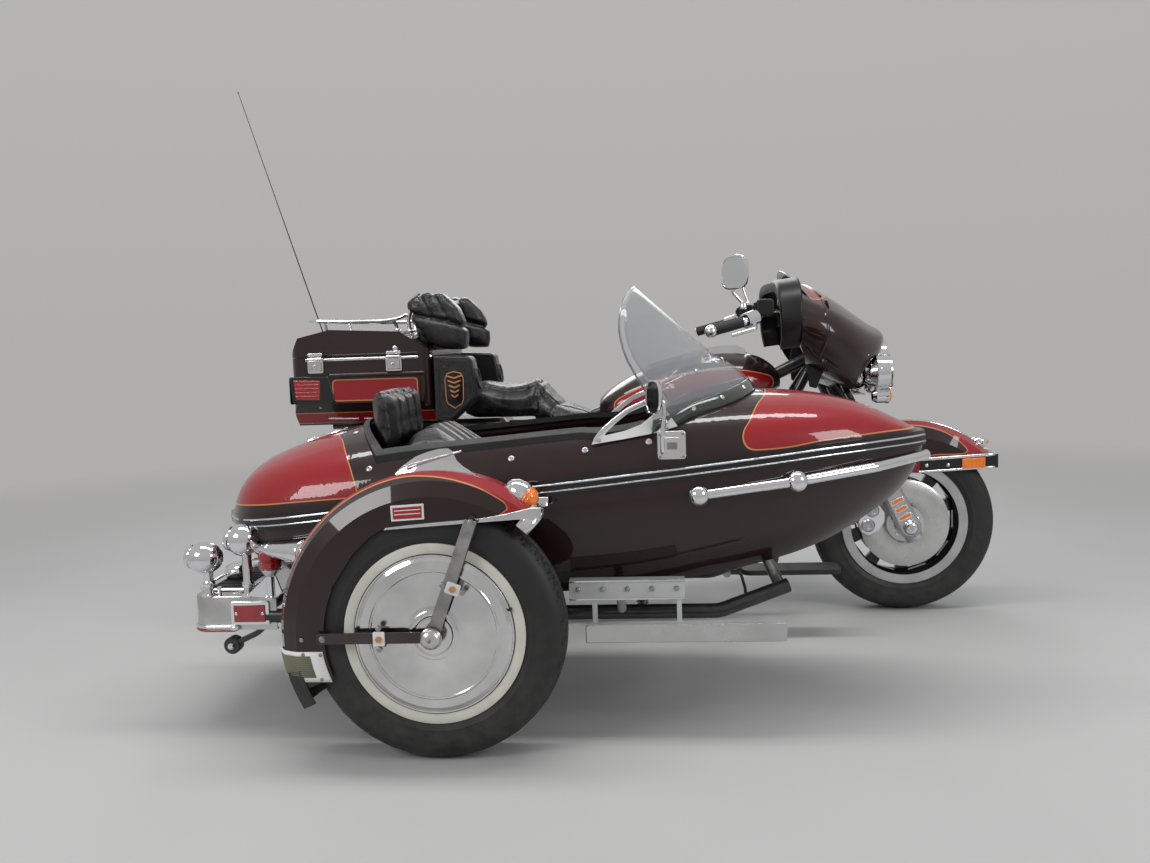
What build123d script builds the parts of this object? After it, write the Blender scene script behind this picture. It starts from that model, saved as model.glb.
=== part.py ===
"""Full-dress touring motorcycle with a sidecar on its right side.

Millimetres.  +X forward, +Y left, +Z up, the ground at Z 0.
While it is laid out, the rear axle stands above X 0 and the motorcycle's
centre plane is Y 0.  Before it is written, everything moves by `shift`,
so that the middle of the whole outline stands above the origin.
"""
from build123d import *
import math
import os

# Running gear
wheelbase = 1598.0
track = 1313.0
wheel_lead = 217.0
tyre_radius = 312.0
tyre_width = 130.0
rim_seat_radius = 205.0
rim_flange_radius = 217.0
rim_half_width = 44.0
axle_radius = 10.0
axle_clearance = 0.5
wheel_cover_radius = 192.0
brake_cover_radius = 152.0
seat_gap = 0.3

# Steering
rake = 26.0
trail = 157.0
steer_limit = 32.0
neck_low_z = 865.0
neck_high_z = 985.0
stem_radius = 19.0
fork_leg_y = 114.0
fork_leg_radius = 24.0
slider_radius = 30.0
bar_radius = 12.7
head_height = 920.0

# Motorcycle
tube_radius = 16.0
tank_half_width = 165.0
crank_x = 690.0
crank_z = 285.0
cylinder_lean = 22.5
fin_size = 152.0
fin_thickness = 3.2
fin_pitch = 10.5
case_wall = 4.0
top_case_half_width = 300.0
top_case_rear_x = -485.0
top_case_front_x = 0.0
top_case_floor_z = 722.0
top_case_seam_z = 955.0
top_case_top_z = 1047.0
bag_inner_y = 245.0
bag_outer_y = 470.0
bag_rear_x = -385.0
bag_front_x = 175.0
bag_floor_z = 335.0
bag_seam_z = 656.0
bag_top_z = 692.0

# Sidecar
tub_y = -890.0
tub_wall = 6.0
rim_pad = 12.0
rim_outside = 6.0
rim_inside = 8.0
belt_proud = 6.0
belt_height = 38.0
cockpit_rear_x = -43.0
cockpit_corner_x = 40.0
cockpit_front_x = 985.0
cockpit_half_width = 250.0
screen_thickness = 4.0
fender_gap = 72.0
fender_wall = 3.0
fender_half_width = 76.0
sidecar_frame_z = 285.0
sidecar_tube_radius = 19.0

sidecar_y = -track
axle_z = tyre_radius
fender_out_radius = tyre_radius + fender_gap
pieces = {}


def box(low, high):
    """Block between two corners."""
    size = [b - a for a, b in zip(low, high)]
    centre = [(a + b) / 2 for a, b in zip(low, high)]
    return Pos(*centre) * Box(*size)


def rounded_box(low, high, radius, axis=Axis.Z):
    """Block between two corners, its edges along one axis rounded."""
    block = box(low, high)
    return fillet(block.edges().filter_by(axis), radius)


def rod(start, end, radius):
    """Round bar between two points."""
    line = Line(start, end)
    return sweep(Plane(origin=start, z_dir=line % 0) * Circle(radius), path=line)


def tube(points, radius, bend):
    """Round tube through points, bent at each corner."""
    path = FilletPolyline(*points, radius=bend) if len(points) > 2 else Line(*points)
    return sweep(Plane(origin=path @ 0, z_dir=path % 0) * Circle(radius), path=path)


def side_plate(outline, y_low, y_high):
    """Outline of (x, z) points, as thick as the gap between two Y values."""
    face = make_face(Polyline(*[(x, y_low, z) for x, z in outline], close=True))
    return extrude(face, amount=y_high - y_low, dir=(0, 1, 0))


def turned(outline, centre, angle=360.0, start=0.0):
    """Outline of (radius, y) points turned about a wheel's axle line."""
    face = make_face(Polyline(*[(r, y, 0) for r, y in outline], close=True))
    solid = revolve(face, axis=Axis.Y, revolution_arc=angle)
    return Pos(*centre) * Rot(0, -start - angle if angle < 360 else 0, 0) * solid


def spun(outline, start):
    """Outline of (x, radius) points turned about a line along X through a point."""
    face = make_face(Polyline(*[(x, 0, r) for x, r in outline], close=True))
    return Pos(*start) * revolve(face, axis=Axis.X)


def fuse(parts):
    """All the given shapes as one."""
    whole = parts[0]
    for part in parts[1:]:
        whole = whole + part
    return whole


def crowned_section(x, y, half, foot_half, foot_z, side_z, crown_z, turn=66.0):
    """Body section: flat foot, arched sides up to side_z, round shoulders and a crown.

    The shoulder arc leaves the side upright and turns through `turn` degrees.
    The crown arc goes on from it without a crease.
    """
    angle = math.radians(turn)
    k = (1 - math.sin(angle)) / math.cos(angle)
    rise = crown_z - side_z
    r = (rise - half * k) / (1 - k)
    sx = half - r + r * math.cos(angle)
    sz = side_z + r * math.sin(angle)
    mx = half - r + r * math.cos(angle / 2)
    mz = side_z + r * math.sin(angle / 2)
    bulge = (foot_half + (half - foot_half) * 0.74, foot_z + (side_z - foot_z) * 0.33)

    def at(side, point):
        return (x, y + side * point[0], point[1])

    lines = [Line(at(-1, (foot_half, foot_z)), at(1, (foot_half, foot_z)))]
    for side in (1, -1):
        lines.append(ThreePointArc(at(side, (foot_half, foot_z)), at(side, bulge), at(side, (half, side_z))))
        lines.append(ThreePointArc(at(side, (half, side_z)), at(side, (mx, mz)), at(side, (sx, sz))))
    lines.append(ThreePointArc(at(1, (sx, sz)), at(1, (0, crown_z)), at(-1, (sx, sz))))
    return make_face(Wire(lines))


def steer_x(z):
    """Where the steering axis passes at a height."""
    return wheelbase + trail - z * math.tan(math.radians(rake))


head_x = steer_x(head_height)


# Wheels

def tyre(centre):
    half = tyre_width / 2
    bead = rim_half_width - seat_gap
    inner = rim_seat_radius + seat_gap
    lip = rim_flange_radius + 1.5
    with BuildSketch(Plane.XY) as section:
        with BuildLine():
            Polyline((lip, -bead), (inner, -bead), (inner, bead), (lip, bead))
            ThreePointArc((lip, bead), (lip + 36, half), (tyre_radius - 18, half - 8))
            ThreePointArc((tyre_radius - 18, half - 8), (tyre_radius, 0), (tyre_radius - 18, 8 - half))
            ThreePointArc((tyre_radius - 18, 8 - half), (lip + 36, -half), (lip, -bead))
        make_face()
    return Pos(*centre) * revolve(section.sketch, axis=Axis.Y)


def rim(centre, hub_half, windows):
    """Cast wheel: barrel, web with windows, and a hub with its axle bore."""
    bore = axle_radius + axle_clearance
    seat = rim_seat_radius
    flange = rim_flange_radius
    w = rim_half_width
    outline = [(bore, -hub_half), (32, -hub_half), (34, -14), (190, -9), (192, -w - 5),
               (flange, -w - 5), (flange, -w), (seat, -w), (seat, w), (flange, w), (flange, w + 5),
               (192, w + 5), (190, 9), (34, 14), (32, hub_half), (bore, hub_half)]
    wheel = turned(outline, (0, 0, 0))
    for i in range(windows):
        hole = side_plate([(70, -13), (178, -33), (178, 33), (70, 13)], -30, 30)
        wheel = wheel - Rot(0, 360 * i / windows, 0) * hole
    return Pos(*centre) * wheel


def disc_cover(centre, radius, near, far):
    """Domed cover dish between two distances from the wheel's mid plane."""
    crown = far + (3 if far > near else -3)
    outline = [(12, near), (radius, near), (radius, (near + far) / 2), (radius - 14, far),
               (70, far), (40, crown), (12, crown)]
    return turned(outline, centre)


front_centre = (wheelbase, 0, axle_z)
rear_centre = (0, 0, axle_z)
sidecar_centre = (wheel_lead, sidecar_y, axle_z)

pieces["front_tyre"] = tyre(front_centre)
pieces["rear_tyre"] = tyre(rear_centre)
pieces["sidecar_tyre"] = tyre(sidecar_centre)
pieces["front_rim"] = rim(front_centre, 60, 10)
pieces["rear_rim"] = rim(rear_centre, 78, 10)
pieces["sidecar_rim"] = rim(sidecar_centre, 52, 10)
pieces["front_wheel_covers"] = [disc_cover(front_centre, brake_cover_radius, side * 60.3, side * 70) for side in (-1, 1)]
pieces["sidecar_wheel_cover"] = disc_cover(sidecar_centre, wheel_cover_radius - 1, -52.3, -66)
pulley = turned([(30, 78.3), (105, 78.3), (105, 104), (30, 104)], rear_centre)
brake = turned([(24, -78.3), (146, -78.3), (146, -84), (24, -84)], rear_centre)
pieces["rear_wheel_drive"] = [pulley, brake]

# Front fork, wheel axle and clamps
rake_sin = math.sin(math.radians(rake))
rake_cos = math.cos(math.radians(rake))


def fork_point(y, up, ahead=0.0):
    """Point on a fork leg: a distance up along it from the axle, and one ahead of it."""
    return (wheelbase - up * rake_sin + ahead * rake_cos, y, axle_z + up * rake_cos + ahead * rake_sin)


slider_top = 330.0
clamp_low = 560.0
clamp_high = 756.0
clamp_thick = 24.0
fork_top = clamp_high + clamp_thick + 8


def clamp_plate(up, thick):
    """Triple clamp across both legs and the steering stem."""
    mid = fork_point(0, up)
    plane = Plane(origin=mid, x_dir=(rake_cos, 0, rake_sin), z_dir=(-rake_sin, 0, rake_cos))
    outline = [(-30, -fork_leg_y - 32), (26, -fork_leg_y - 32), (42, -30), (42, 30), (26, fork_leg_y + 32),
               (-30, fork_leg_y + 32)]
    face = make_face(Polyline(*outline, close=True))
    return extrude(plane * face, amount=thick, dir=plane.z_dir)


def stem_point(up):
    """Point on the steering axis, level with a distance up the fork legs."""
    z = axle_z + up * rake_cos
    return (steer_x(z), 0, z)


fork = [rod(stem_point(clamp_low), stem_point(clamp_high + clamp_thick), stem_radius),
        clamp_plate(clamp_low, clamp_thick), clamp_plate(clamp_high, clamp_thick)]
for y in (-fork_leg_y, fork_leg_y):
    fork.append(rod(fork_point(y, slider_top - 20), fork_point(y, fork_top), fork_leg_radius))
pieces["fork"] = fuse(fork)
sliders = []
for y in (-fork_leg_y, fork_leg_y):
    slider = rod(fork_point(y, -52), fork_point(y, slider_top), slider_radius)
    leg_bore = rod(fork_point(y, slider_top - 20.3), fork_point(y, slider_top + 5), fork_leg_radius + seat_gap)
    cover = make_hull((Circle(38).edges() + (Pos(0, 215) * Circle(30)).edges()))
    outer_y = math.copysign(fork_leg_y + 12, y)
    cover_plane = Plane(origin=(wheelbase, outer_y, axle_z), x_dir=(rake_cos, 0, rake_sin), z_dir=(0, -1, 0))
    cover = extrude(cover_plane * cover, amount=26, dir=(0, math.copysign(1, y), 0))
    cover = chamfer(cover.faces().sort_by(Axis.Y)[-1 if y > 0 else 0].edges(), 8)
    cap = rod((wheelbase, outer_y, axle_z), (wheelbase, outer_y + math.copysign(36, y), axle_z), 22)
    sliders.append(slider + cover + cap - leg_bore)
sliders.append(rod((wheelbase, -fork_leg_y - 38, axle_z), (wheelbase, fork_leg_y + 38, axle_z), axle_radius))
pieces["fork_sliders"] = fuse(sliders)

# Front fender with deep side skirts, its front end cut level
front_fender_radius = tyre_radius + 64
front_fender_half = 84.0
front_fender_low_z = 497.0


def fender_ring(centre, outer, half, wall, skirt, start, span):
    """Arched shell: crown, rounded shoulders and two side skirts."""
    shoulder = 34.0

    def half_section(grow):
        r = outer - grow
        h = half - grow
        s = shoulder - grow
        return [(skirt, -h), (r - s * 1.6, -h), (r - s * 0.55, -h + s * 0.5), (r, -h * 0.30),
                (r, h * 0.30), (r - s * 0.55, h - s * 0.5), (r - s * 1.6, h), (skirt, h)]

    outline = half_section(0) + half_section(wall)[::-1]
    return turned(outline, centre, span, start)


front_fender_centre = (wheelbase + 20, 0, axle_z - 22)
front_fender_end = wheelbase + 299
front_fender_skirt = 200.0
fender = fender_ring(front_fender_centre, front_fender_radius, front_fender_half, fender_wall,
                     front_fender_skirt, 20, 160)
keep = side_plate([(front_fender_end, front_fender_low_z + 6), (wheelbase + 40, front_fender_low_z - 7),
                   (wheelbase - 38, 470), (wheelbase - 108, 400), (wheelbase - 168, axle_z),
                   (wheelbase - 420, axle_z), (wheelbase - 420, 720), (front_fender_end, 720)], -120, 120)
pieces["front_fender"] = fender & keep
rail_wall = 7.0
rail_height = 46.0
rail_ring = fender_ring(front_fender_centre, front_fender_radius + rail_wall + seat_gap,
                        front_fender_half + rail_wall + seat_gap, rail_wall, front_fender_skirt, 20, 62)
rail_band = side_plate([(front_fender_end, front_fender_low_z + 6), (wheelbase + 40, front_fender_low_z - 7),
                        (wheelbase + 40, front_fender_low_z + rail_height - 7),
                        (front_fender_end, front_fender_low_z + rail_height + 6)], -120, 120)
rail_half = front_fender_half + rail_wall + seat_gap
rail_nose = rounded_box((front_fender_end - 40, -rail_half, front_fender_low_z + 6),
                        (front_fender_end + 12, rail_half, front_fender_low_z + rail_height + 6), 12)
nose_room = box((front_fender_end - 60, -front_fender_half - seat_gap, front_fender_low_z - 20),
                (front_fender_end + seat_gap, front_fender_half + seat_gap, front_fender_low_z + rail_height + 20))
pieces["front_fender_rail"] = (rail_ring & rail_band) + (rail_nose - nose_room)

# Handlebar, risers, grips and levers
bar_x = head_x - 111
bar_z = 1072.0
bar_half = [(bar_x - 276, 455, 1001), (bar_x - 155, 425, 1030), (bar_x - 75, 320, 1062), (bar_x, 120, bar_z)]
bar = [(x, -y, z) for x, y, z in bar_half] + bar_half[::-1]
handlebar = [tube(bar, bar_radius, 40)]
for y in (-55, 55):
    handlebar.append(rod(fork_point(y, clamp_high + clamp_thick + 6), (bar_x, y, bar_z), 14))
pieces["handlebar"] = fuse(handlebar) - pieces["fork"]
bar_bore = tube(bar, bar_radius + seat_gap, 40)
grips = []
levers = []
for side in (-1, 1):
    grips.append(rod((bar_x - 283, side * 457, 999), (bar_x - 173, side * 429.5, 1026), 18))
    housing = rod((bar_x - 165, side * 427.5, 1028), (bar_x - 129, side * 400, 1040), 24)
    lever = tube([(bar_x - 133, side * 420, 1022), (bar_x - 135, side * 462, 1004), (bar_x - 210, side * 482, 985)],
                 6, 12)
    levers.append(housing + lever)
pieces["grips"] = fuse(grips) - bar_bore
pieces["control_levers"] = fuse(levers) - bar_bore
mirrors = []
for side in (-1, 1):
    head = Pos(bar_x - 155, side * 400, 1212) * Rot(0, 0, side * 12) * Rot(0, 90, 0)
    face = RectangleRounded(132, 96, 30)
    shell = extrude(Sketch() + face, amount=14, taper=8)
    arm = tube([(bar_x - 147, side * 413, 1034), (bar_x - 123, side * 398, 1120), (bar_x - 143, side * 400, 1190)],
               5, 20)
    mirrors.append(head * shell + arm)
pieces["mirrors"] = fuse(mirrors) - pieces["control_levers"] - bar_bore

# Handlebar fairing: a hollow shell, open behind
# x, half width, low z, side z, crown z
fairing_rows = [
    (head_x - 91, 372, 905, 1010, 1172),
    (head_x - 16, 365, 850, 985, 1135),
    (head_x + 64, 330, 800, 945, 1088),
    (head_x + 129, 270, 792, 920, 1040),
    (head_x + 184, 190, 868, 928, 1003),
    (head_x + 218, 90, 932, 950, 983),
]
fairing_wall = 5.0


def fairing_form(grow, back):
    """The fairing's outline, grown or shrunk all round."""
    sections = []
    for x, half, low, side, crown in fairing_rows:
        if x == fairing_rows[0][0]:
            x = x - back
        if x == fairing_rows[-1][0]:
            x = x + grow
        sections.append(crowned_section(x, 0, half + grow, (half + grow) * 0.5, low - grow, side, crown + grow))
    return loft(sections)


fairing_inside = fairing_form(-fairing_wall, 20)
slot = box((head_x - 146, -190, 770), (head_x + 94, 190, 905))
headlamp_radius = 88.0
headlamp_x = head_x + 162
headlamp_z = 868.0
headlamp_rim = [(0, 0), (0, 70), (20, headlamp_radius), (66, headlamp_radius), (72, 82), (62, 78), (62, 0)]
pieces["headlamp"] = spun(headlamp_rim, (headlamp_x, 0, headlamp_z))
bores = [rod((headlamp_x - 30, 0, headlamp_z), (headlamp_x + 100, 0, headlamp_z), headlamp_radius + seat_gap)]
passing_radius = 57.0
passing_y = 205.0
passing_x = head_x + 130
passing_z = 846.0
signal_z = 768.0
passing_lamp = [(0, 0), (0, 26), (18, 44), (46, passing_radius), (82, passing_radius), (86, 52), (78, 50), (78, 0)]
signal = [(0, 0), (0, 16), (12, 24), (44, 24), (50, 18), (50, 0)]
lamps = []
for side in (-1, 1):
    lamp = spun(passing_lamp, (passing_x, side * passing_y, passing_z))
    turn_signal = spun(signal, (passing_x + 26, side * passing_y, signal_z))
    stem = rod((passing_x + 50, side * passing_y, signal_z), (passing_x + 50, side * passing_y, passing_z), 9)
    lamps += [lamp, turn_signal, stem - lamp - turn_signal]
    bores.append(rod((passing_x - 30, side * passing_y, passing_z), (passing_x + 100, side * passing_y, passing_z),
                     passing_radius + seat_gap))
lamp_bar = rod((passing_x + 50, -passing_y, signal_z), (passing_x + 50, passing_y, signal_z), 8)
pieces["passing_lamps"] = lamps + [lamp_bar - lamps[1] - lamps[4]]
pieces["fairing"] = fairing_form(0, 0) - fairing_inside - slot - fuse(bores)
dash = box((head_x + 30, -420, 962), (head_x + 54, 420, 1075)) & fairing_form(-fairing_wall - seat_gap, 20)
for y in (-82, 82):
    dash = dash + rod(fork_point(y, clamp_high + 12, 32), (head_x + 32, y, 1000), 9)
pieces["dash"] = dash - pieces["fork"]

# Motorcycle frame
neck = rod((steer_x(neck_low_z), 0, neck_low_z), (steer_x(neck_high_z), 0, neck_high_z), 34)
neck_bore = rod((steer_x(840), 0, 840), (steer_x(1010), 0, 1010), stem_radius + axle_clearance)
backbone_path = [(steer_x(905) - 10, 0, 905), (head_x - 146, 0, 838), (600, 0, 742), (400, 0, 668)]
backbone = tube(backbone_path, 22, 60)
seat_rails = []
for side in (-1, 1):
    seat_rails.append(tube([(470, side * 16, 686), (330, side * 105, 677), (-330, side * 120, 668)], 13, 60))
rail_tie = rod((-300, -121, 668), (-300, 121, 668), 11)
seat_tie = rod((310, -106, 677), (310, 106, 677), 11)
bracket_slant = 3.8
rear_posts = []
for side in (-1, 1):
    for x in (-250, -60):
        rear_posts.append(rod((x, side * 118, 672), (x, side * 118, 708), 9))
    rear_posts.append(rod((-400, side * 118, 708), (-10, side * 118, 708), 11))
    for x in (-300, 20):
        rear_posts.append(rod((x, side * 118, 668), (x, side * (bag_inner_y - seat_gap - bracket_slant), 610), 9))
pieces["frame_backbone"] = fuse([neck, backbone, rail_tie, seat_tie] + seat_rails + rear_posts) - neck_bore
pivot_x = 345.0
pivot_z = 330.0
rail_z = 168.0
rail_y = 128.0
post_y = 84.0
cradle = []
for side in (-1, 1):
    cradle.append(tube([(steer_x(885) - 25, side * 14, 885), (head_x - 71, side * 60, 780),
                        (head_x - 141, side * 110, 420), (head_x - 171, side * rail_y, rail_z), (440, side * rail_y, rail_z), (352, side * post_y, rail_z),
                        (352, side * post_y, 400), (372, side * post_y, 676)], tube_radius, 50))
    lug_low, lug_high = sorted((side * 66, side * (post_y + 18)))
    cradle.append(box((pivot_x - 26, lug_low, pivot_z - 30), (pivot_x + 30, lug_high, pivot_z + 30)))
for x in (1080, 500):
    cradle.append(rod((x, -rail_y, rail_z), (x, rail_y, rail_z), tube_radius - 2))
pivot_radius = 17.0
pivot_bore = rod((pivot_x, -140, pivot_z), (pivot_x, 140, pivot_z), pivot_radius + seat_gap)
pieces["frame_cradle"] = fuse(cradle) - pieces["frame_backbone"] - neck_bore - pivot_bore

# Engine
def leaned(side, shape):
    """A cylinder part, leaned forward (+1) or back (-1) from the crank."""
    return Pos(crank_x, 0, crank_z) * Rot(0, side * cylinder_lean, 0) * shape


barrel_base = 146.0
barrel_top = 262.0
head_top = 360.0
rocker_top = 408.0
cylinders = []
for side in (-1, 1):
    column = Pos(0, 0, barrel_base - 20) * Cylinder(56, head_top - barrel_base + 20,
                                                    align=(Align.CENTER, Align.CENTER, Align.MIN))
    cylinders.append(leaned(side, column))
    count = int((barrel_top - barrel_base) / fin_pitch)
    for i in range(count):
        fin = RectangleRounded(fin_size - 4, fin_size, 40)
        cylinders.append(leaned(side, Pos(0, 0, barrel_base + 8 + i * fin_pitch) * extrude(Sketch() + fin, amount=fin_thickness)))
    for i in range(6):
        fin = RectangleRounded(fin_size + 6 - 6 * i, fin_size + 18, 34)
        cylinders.append(leaned(side, Pos(0, 0, barrel_top + 10 + i * 14) * extrude(Sketch() + fin, amount=4.5)))
rockers = []
for side in (-1, 1):
    cover = extrude(Sketch() + RectangleRounded(128, 168, 30), amount=rocker_top - head_top, taper=10)
    rockers.append(leaned(side, Pos(0, 0, head_top + seat_gap) * cover))
pieces["rocker_covers"] = rockers
case = side_plate([(870, 205), (905, 300), (860, 372), (804, 389), (690, 437), (576, 389), (530, 372), (522, 205),
                   (600, 170), (800, 170)], -96, 100)
gearbox = rounded_box((388, -95, 196), (521.7, 95, 420), 24, Axis.Y)
pieces["crankcase"] = case
pieces["engine_cylinders"] = fuse(cylinders) - case
pieces["gearbox"] = gearbox
cam = side_plate([(860, 250), (870, 320), (800, 400), (650, 408), (560, 360), (560, 240), (640, 195), (800, 195)],
                 -132, -96 - seat_gap)
cone = Pos(740, -132 - seat_gap, 300) * Rot(90, 0, 0) * Cone(70, 52, 34, align=(Align.CENTER, Align.CENTER, Align.MIN))
pieces["cam_cover"] = cam
pieces["timer_cover"] = cone
primary = side_plate([(770, 190), (805, 300), (760, 395), (650, 415), (430, 400), (330, 370), (310, 280), (360, 200),
                      (600, 188)], 148, 206)
primary = chamfer(primary.faces().sort_by(Axis.Y)[-1].edges(), 14)
primary = primary + rod((690, 100 + seat_gap, 285), (690, 150, 285), 60) + rod((440, 95 + seat_gap, 320), (440, 150, 320), 34)
pieces["primary_cover"] = primary
cleaner = Pos(690, -104, 545) * Rot(90, 0, 0) * extrude(Sketch() + SlotOverall(245, 165), amount=62)
pieces["air_cleaner"] = fillet(cleaner.faces().sort_by(Axis.Y)[0].edges(), 18)

# Exhaust: two head pipes, a crossover and a muffler on each side
head_pipes = [
    tube([(880, -60, 560), (965, -110, 545), (975, -176, 400), (900, -178, 203), (330, -205, 207)], 22, 45),
    tube([(500, -60, 560), (440, -128, 545), (440, -178, 330), (470, -190, 240), (600, -193, 205)], 22, 30),
]
pieces["exhaust_pipes"] = fuse(head_pipes) - pieces["engine_cylinders"]
mufflers = []
for side, muffler_front in ((-1, 329), (1, 285)):
    body = rod((muffler_front, side * 205, 215), (-430, side * 225, 262), 46)
    tail = rod((-430, side * 225, 262), (-520, side * 227.7, 268.5), 40)
    mufflers.append(body + tail)
mufflers.append(tube([(480, -199, 205), (410, -164, 126), (410, 164, 126), (284, 205, 213)], 20, 30))
pieces["mufflers"] = fuse(mufflers) - pieces["exhaust_pipes"]
# Swing arm, shocks and rear axle
arm = []
for side in (-1, 1):
    arm.append(rod((pivot_x, side * 130, pivot_z), (0, side * 130, axle_z), 17))
    arm.append(rod((60, side * 142, 325), (190, side * 142, 640), 20))
    arm.append(rod((190, side * 105, 655), (190, side * 150, 640), 9))
arm.append(rod((pivot_x, -140, pivot_z), (pivot_x, 140, pivot_z), pivot_radius))
arm.append(rod((0, -150, axle_z), (0, 150, axle_z), axle_radius))
pieces["swing_arm"] = fuse(arm) - pieces["frame_backbone"]

# Rear fender
rear_fender = fender_ring(rear_centre, tyre_radius + 54, 92, fender_wall, 250, 42, 168)
pieces["rear_fender"] = (rear_fender & box((-420, -100, 330), (280, 100, 700))) - pieces["frame_backbone"]

# Fuel tank and its console
# x, half width, low z, side z, crown z
tank_rows = [
    (548, 92, 712, 728, 775),
    (640, 140, 716, 752, 842),
    (800, tank_half_width - 8, 730, 786, 900),
    (980, tank_half_width, 748, 812, 926),
    (1110, 135, 775, 820, 905),
    (1176, 70, 800, 815, 848),
]
tank = loft([crowned_section(x, 0, half, half * 0.6, low, side, crown)
             for x, half, low, side, crown in tank_rows])
tunnel = tube(backbone_path[:1] + backbone_path[1:3] + [(500, 0, 705)], 24, 60) + \
    side_plate([(500, 640), (head_x - 106, 640), (head_x - 76, 862), (head_x - 146, 838), (600, 742), (500, 705)], -24, 24)
pieces["fuel_tank"] = tank - tunnel
console = side_plate([(700, 820), (1060, 880), (1060, 935), (1028, 948), (960, 948), (840, 922), (700, 885)], -48, 48)
pieces["tank_console"] = console - pieces["fuel_tank"]

# Seats, backrest and speaker pods (soft forms)
# x, half width, low z, high z
rider_rows = [(352, 190, 705, 806), (400, 195, 705, 776), (470, 180, 706, 745), (540, 110, 708, 736)]
pillion_rows = [(70, 165, 700, 842), (150, 170, 702, 846), (230, 175, 705, 836), (310, 185, 705, 844), (348, 188, 705, 815)]


def pad_section(row):
    x, w, low, high = row
    r = min(w, high - low) * 0.38
    return Plane(origin=(x, 0, (low + high) / 2), x_dir=(0, 1, 0), z_dir=(1, 0, 0)) * \
        RectangleRounded(2 * w, high - low, r)


pieces["rider_seat"] = loft([pad_section(row) for row in rider_rows]) - tube(backbone_path[1:], 26, 60)
pieces["pillion_seat"] = loft([pad_section(row) for row in pillion_rows])
pad_low = rounded_box((seat_gap, -215, 961), (98, 215, 1100), 30, Axis.Y)
pad_high = rounded_box((-70, -240, 1048), (60, 240, 1180), 40, Axis.Y)
wings = [rounded_box((seat_gap, side * 235 - 40, 961), (130, side * 235 + 40, 1120), 30, Axis.Y) for side in (-1, 1)]
pieces["pillion_backrest"] = fuse([pad_low, pad_high] + wings)
pod_inner = 205.0
pod_outer = 290.0
pods = []
for side in (-1, 1):
    low, high = sorted((side * pod_inner, side * pod_outer))
    pods.append(side_plate([(seat_gap, 745), (150, 745), (158, 800), (137, 945), (seat_gap, 950)], low, high))
pieces["speaker_pods"] = pods

# Top case: hollow base and hollow lid
case_corner = 45.0
floor_half = 225.0
belly_z = 800.0


def case_form(grow, z_low, z_high):
    """Top case outline: rounded in plan, with a narrower floor."""
    half = top_case_half_width + grow
    block = rounded_box((top_case_rear_x - grow, -half, z_low), (top_case_front_x + grow, half, z_high),
                        case_corner + grow)
    floor = top_case_floor_z - grow
    profile = [(-floor_half, floor), (floor_half, floor), (half, belly_z), (half, 1100), (-half, 1100), (-half, belly_z)]
    face = make_face(Polyline(*[(-600, y, z) for y, z in profile], close=True))
    return block & extrude(face, amount=700, dir=(1, 0, 0))


lid_low = top_case_seam_z + 1.0
# side view of the lid, x and z, from the rear seam over the top to the front seam
lid_line = [(-486, 900), (-486, 962), (-452, 1022), (-341, 1047), (-102, 1034), (1, 966), (1, 900)]
lid_inner_line = [(-482, 900), (-482, 960), (-449, 1018), (-341, 1043), (-104, 1030), (-3, 964), (-3, 900)]
pieces["top_case_base"] = case_form(0, top_case_floor_z, top_case_seam_z) - \
    case_form(-case_wall, top_case_floor_z + case_wall, top_case_seam_z + 1)
lid_out = case_form(0, lid_low, top_case_top_z) & side_plate(lid_line, -310, 310)
lid_in = case_form(-case_wall, lid_low - 1, top_case_top_z) & side_plate(lid_inner_line, -310, 310)
pieces["top_case_lid"] = lid_out - lid_in
pieces["pillion_backrest"] = pieces["pillion_backrest"] - lid_out
rack_z = 1078.0
rack_corners = [(-442, -170, rack_z), (-442, 170, rack_z), (-120, 170, rack_z), (-120, -170, rack_z)]
rack = [rod(a, b, 6) for a, b in zip(rack_corners, rack_corners[1:] + rack_corners[:1])]
for i in range(6):
    x = -400 + i * 46
    rack.append(box((x - 7, -168, rack_z - 3), (x + 7, 168, rack_z + 3)))
for x in (-400, -170):
    for y in (-150, 150):
        rack.append(rod((x, y, 1000), (x, y, rack_z), 7))
pieces["lid_rack"] = fuse(rack) - lid_out
antenna_tip = (-822, 250, 1972)
antenna_foot = (-512, 250, 950)
bracket = box((-508, 232, 905), (top_case_rear_x - seat_gap, 268, 950))
pieces["antenna"] = rod(antenna_foot, antenna_tip, 2.5) + rod((-500, 250, 912), (-530, 250, 1009), 9) + bracket
tail_light = side_plate([(top_case_rear_x - 8, 806), (top_case_rear_x - 8, 884), (top_case_rear_x - seat_gap, 884),
                         (top_case_rear_x - seat_gap, 806)], -215, 215)
pieces["top_case_lights"] = tail_light

# Saddlebags: hollow bodies and lids
lid_gap = 1.0
for name, side in (("left", 1), ("right", -1)):
    y_low, y_high = sorted((side * bag_inner_y, side * bag_outer_y))
    body = rounded_box((bag_rear_x, y_low, bag_floor_z), (bag_front_x, y_high, bag_seam_z), 45)
    room = rounded_box((bag_rear_x + case_wall, y_low + case_wall, bag_floor_z + case_wall),
                       (bag_front_x - case_wall, y_high - case_wall, bag_seam_z + 1), 41)
    pieces["saddlebag_" + name] = body - room
    top = rounded_box((bag_rear_x, y_low, bag_seam_z + lid_gap), (bag_front_x, y_high, bag_top_z), 45)
    top = chamfer(top.faces().sort_by(Axis.Z)[-1].edges(), 24)
    room = rounded_box((bag_rear_x + case_wall, y_low + case_wall, bag_seam_z),
                       (bag_front_x - case_wall, y_high - case_wall, bag_top_z - case_wall), 41)
    room = chamfer(room.faces().sort_by(Axis.Z)[-1].edges(), 23)
    pieces["saddlebag_lid_" + name] = top - room

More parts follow.
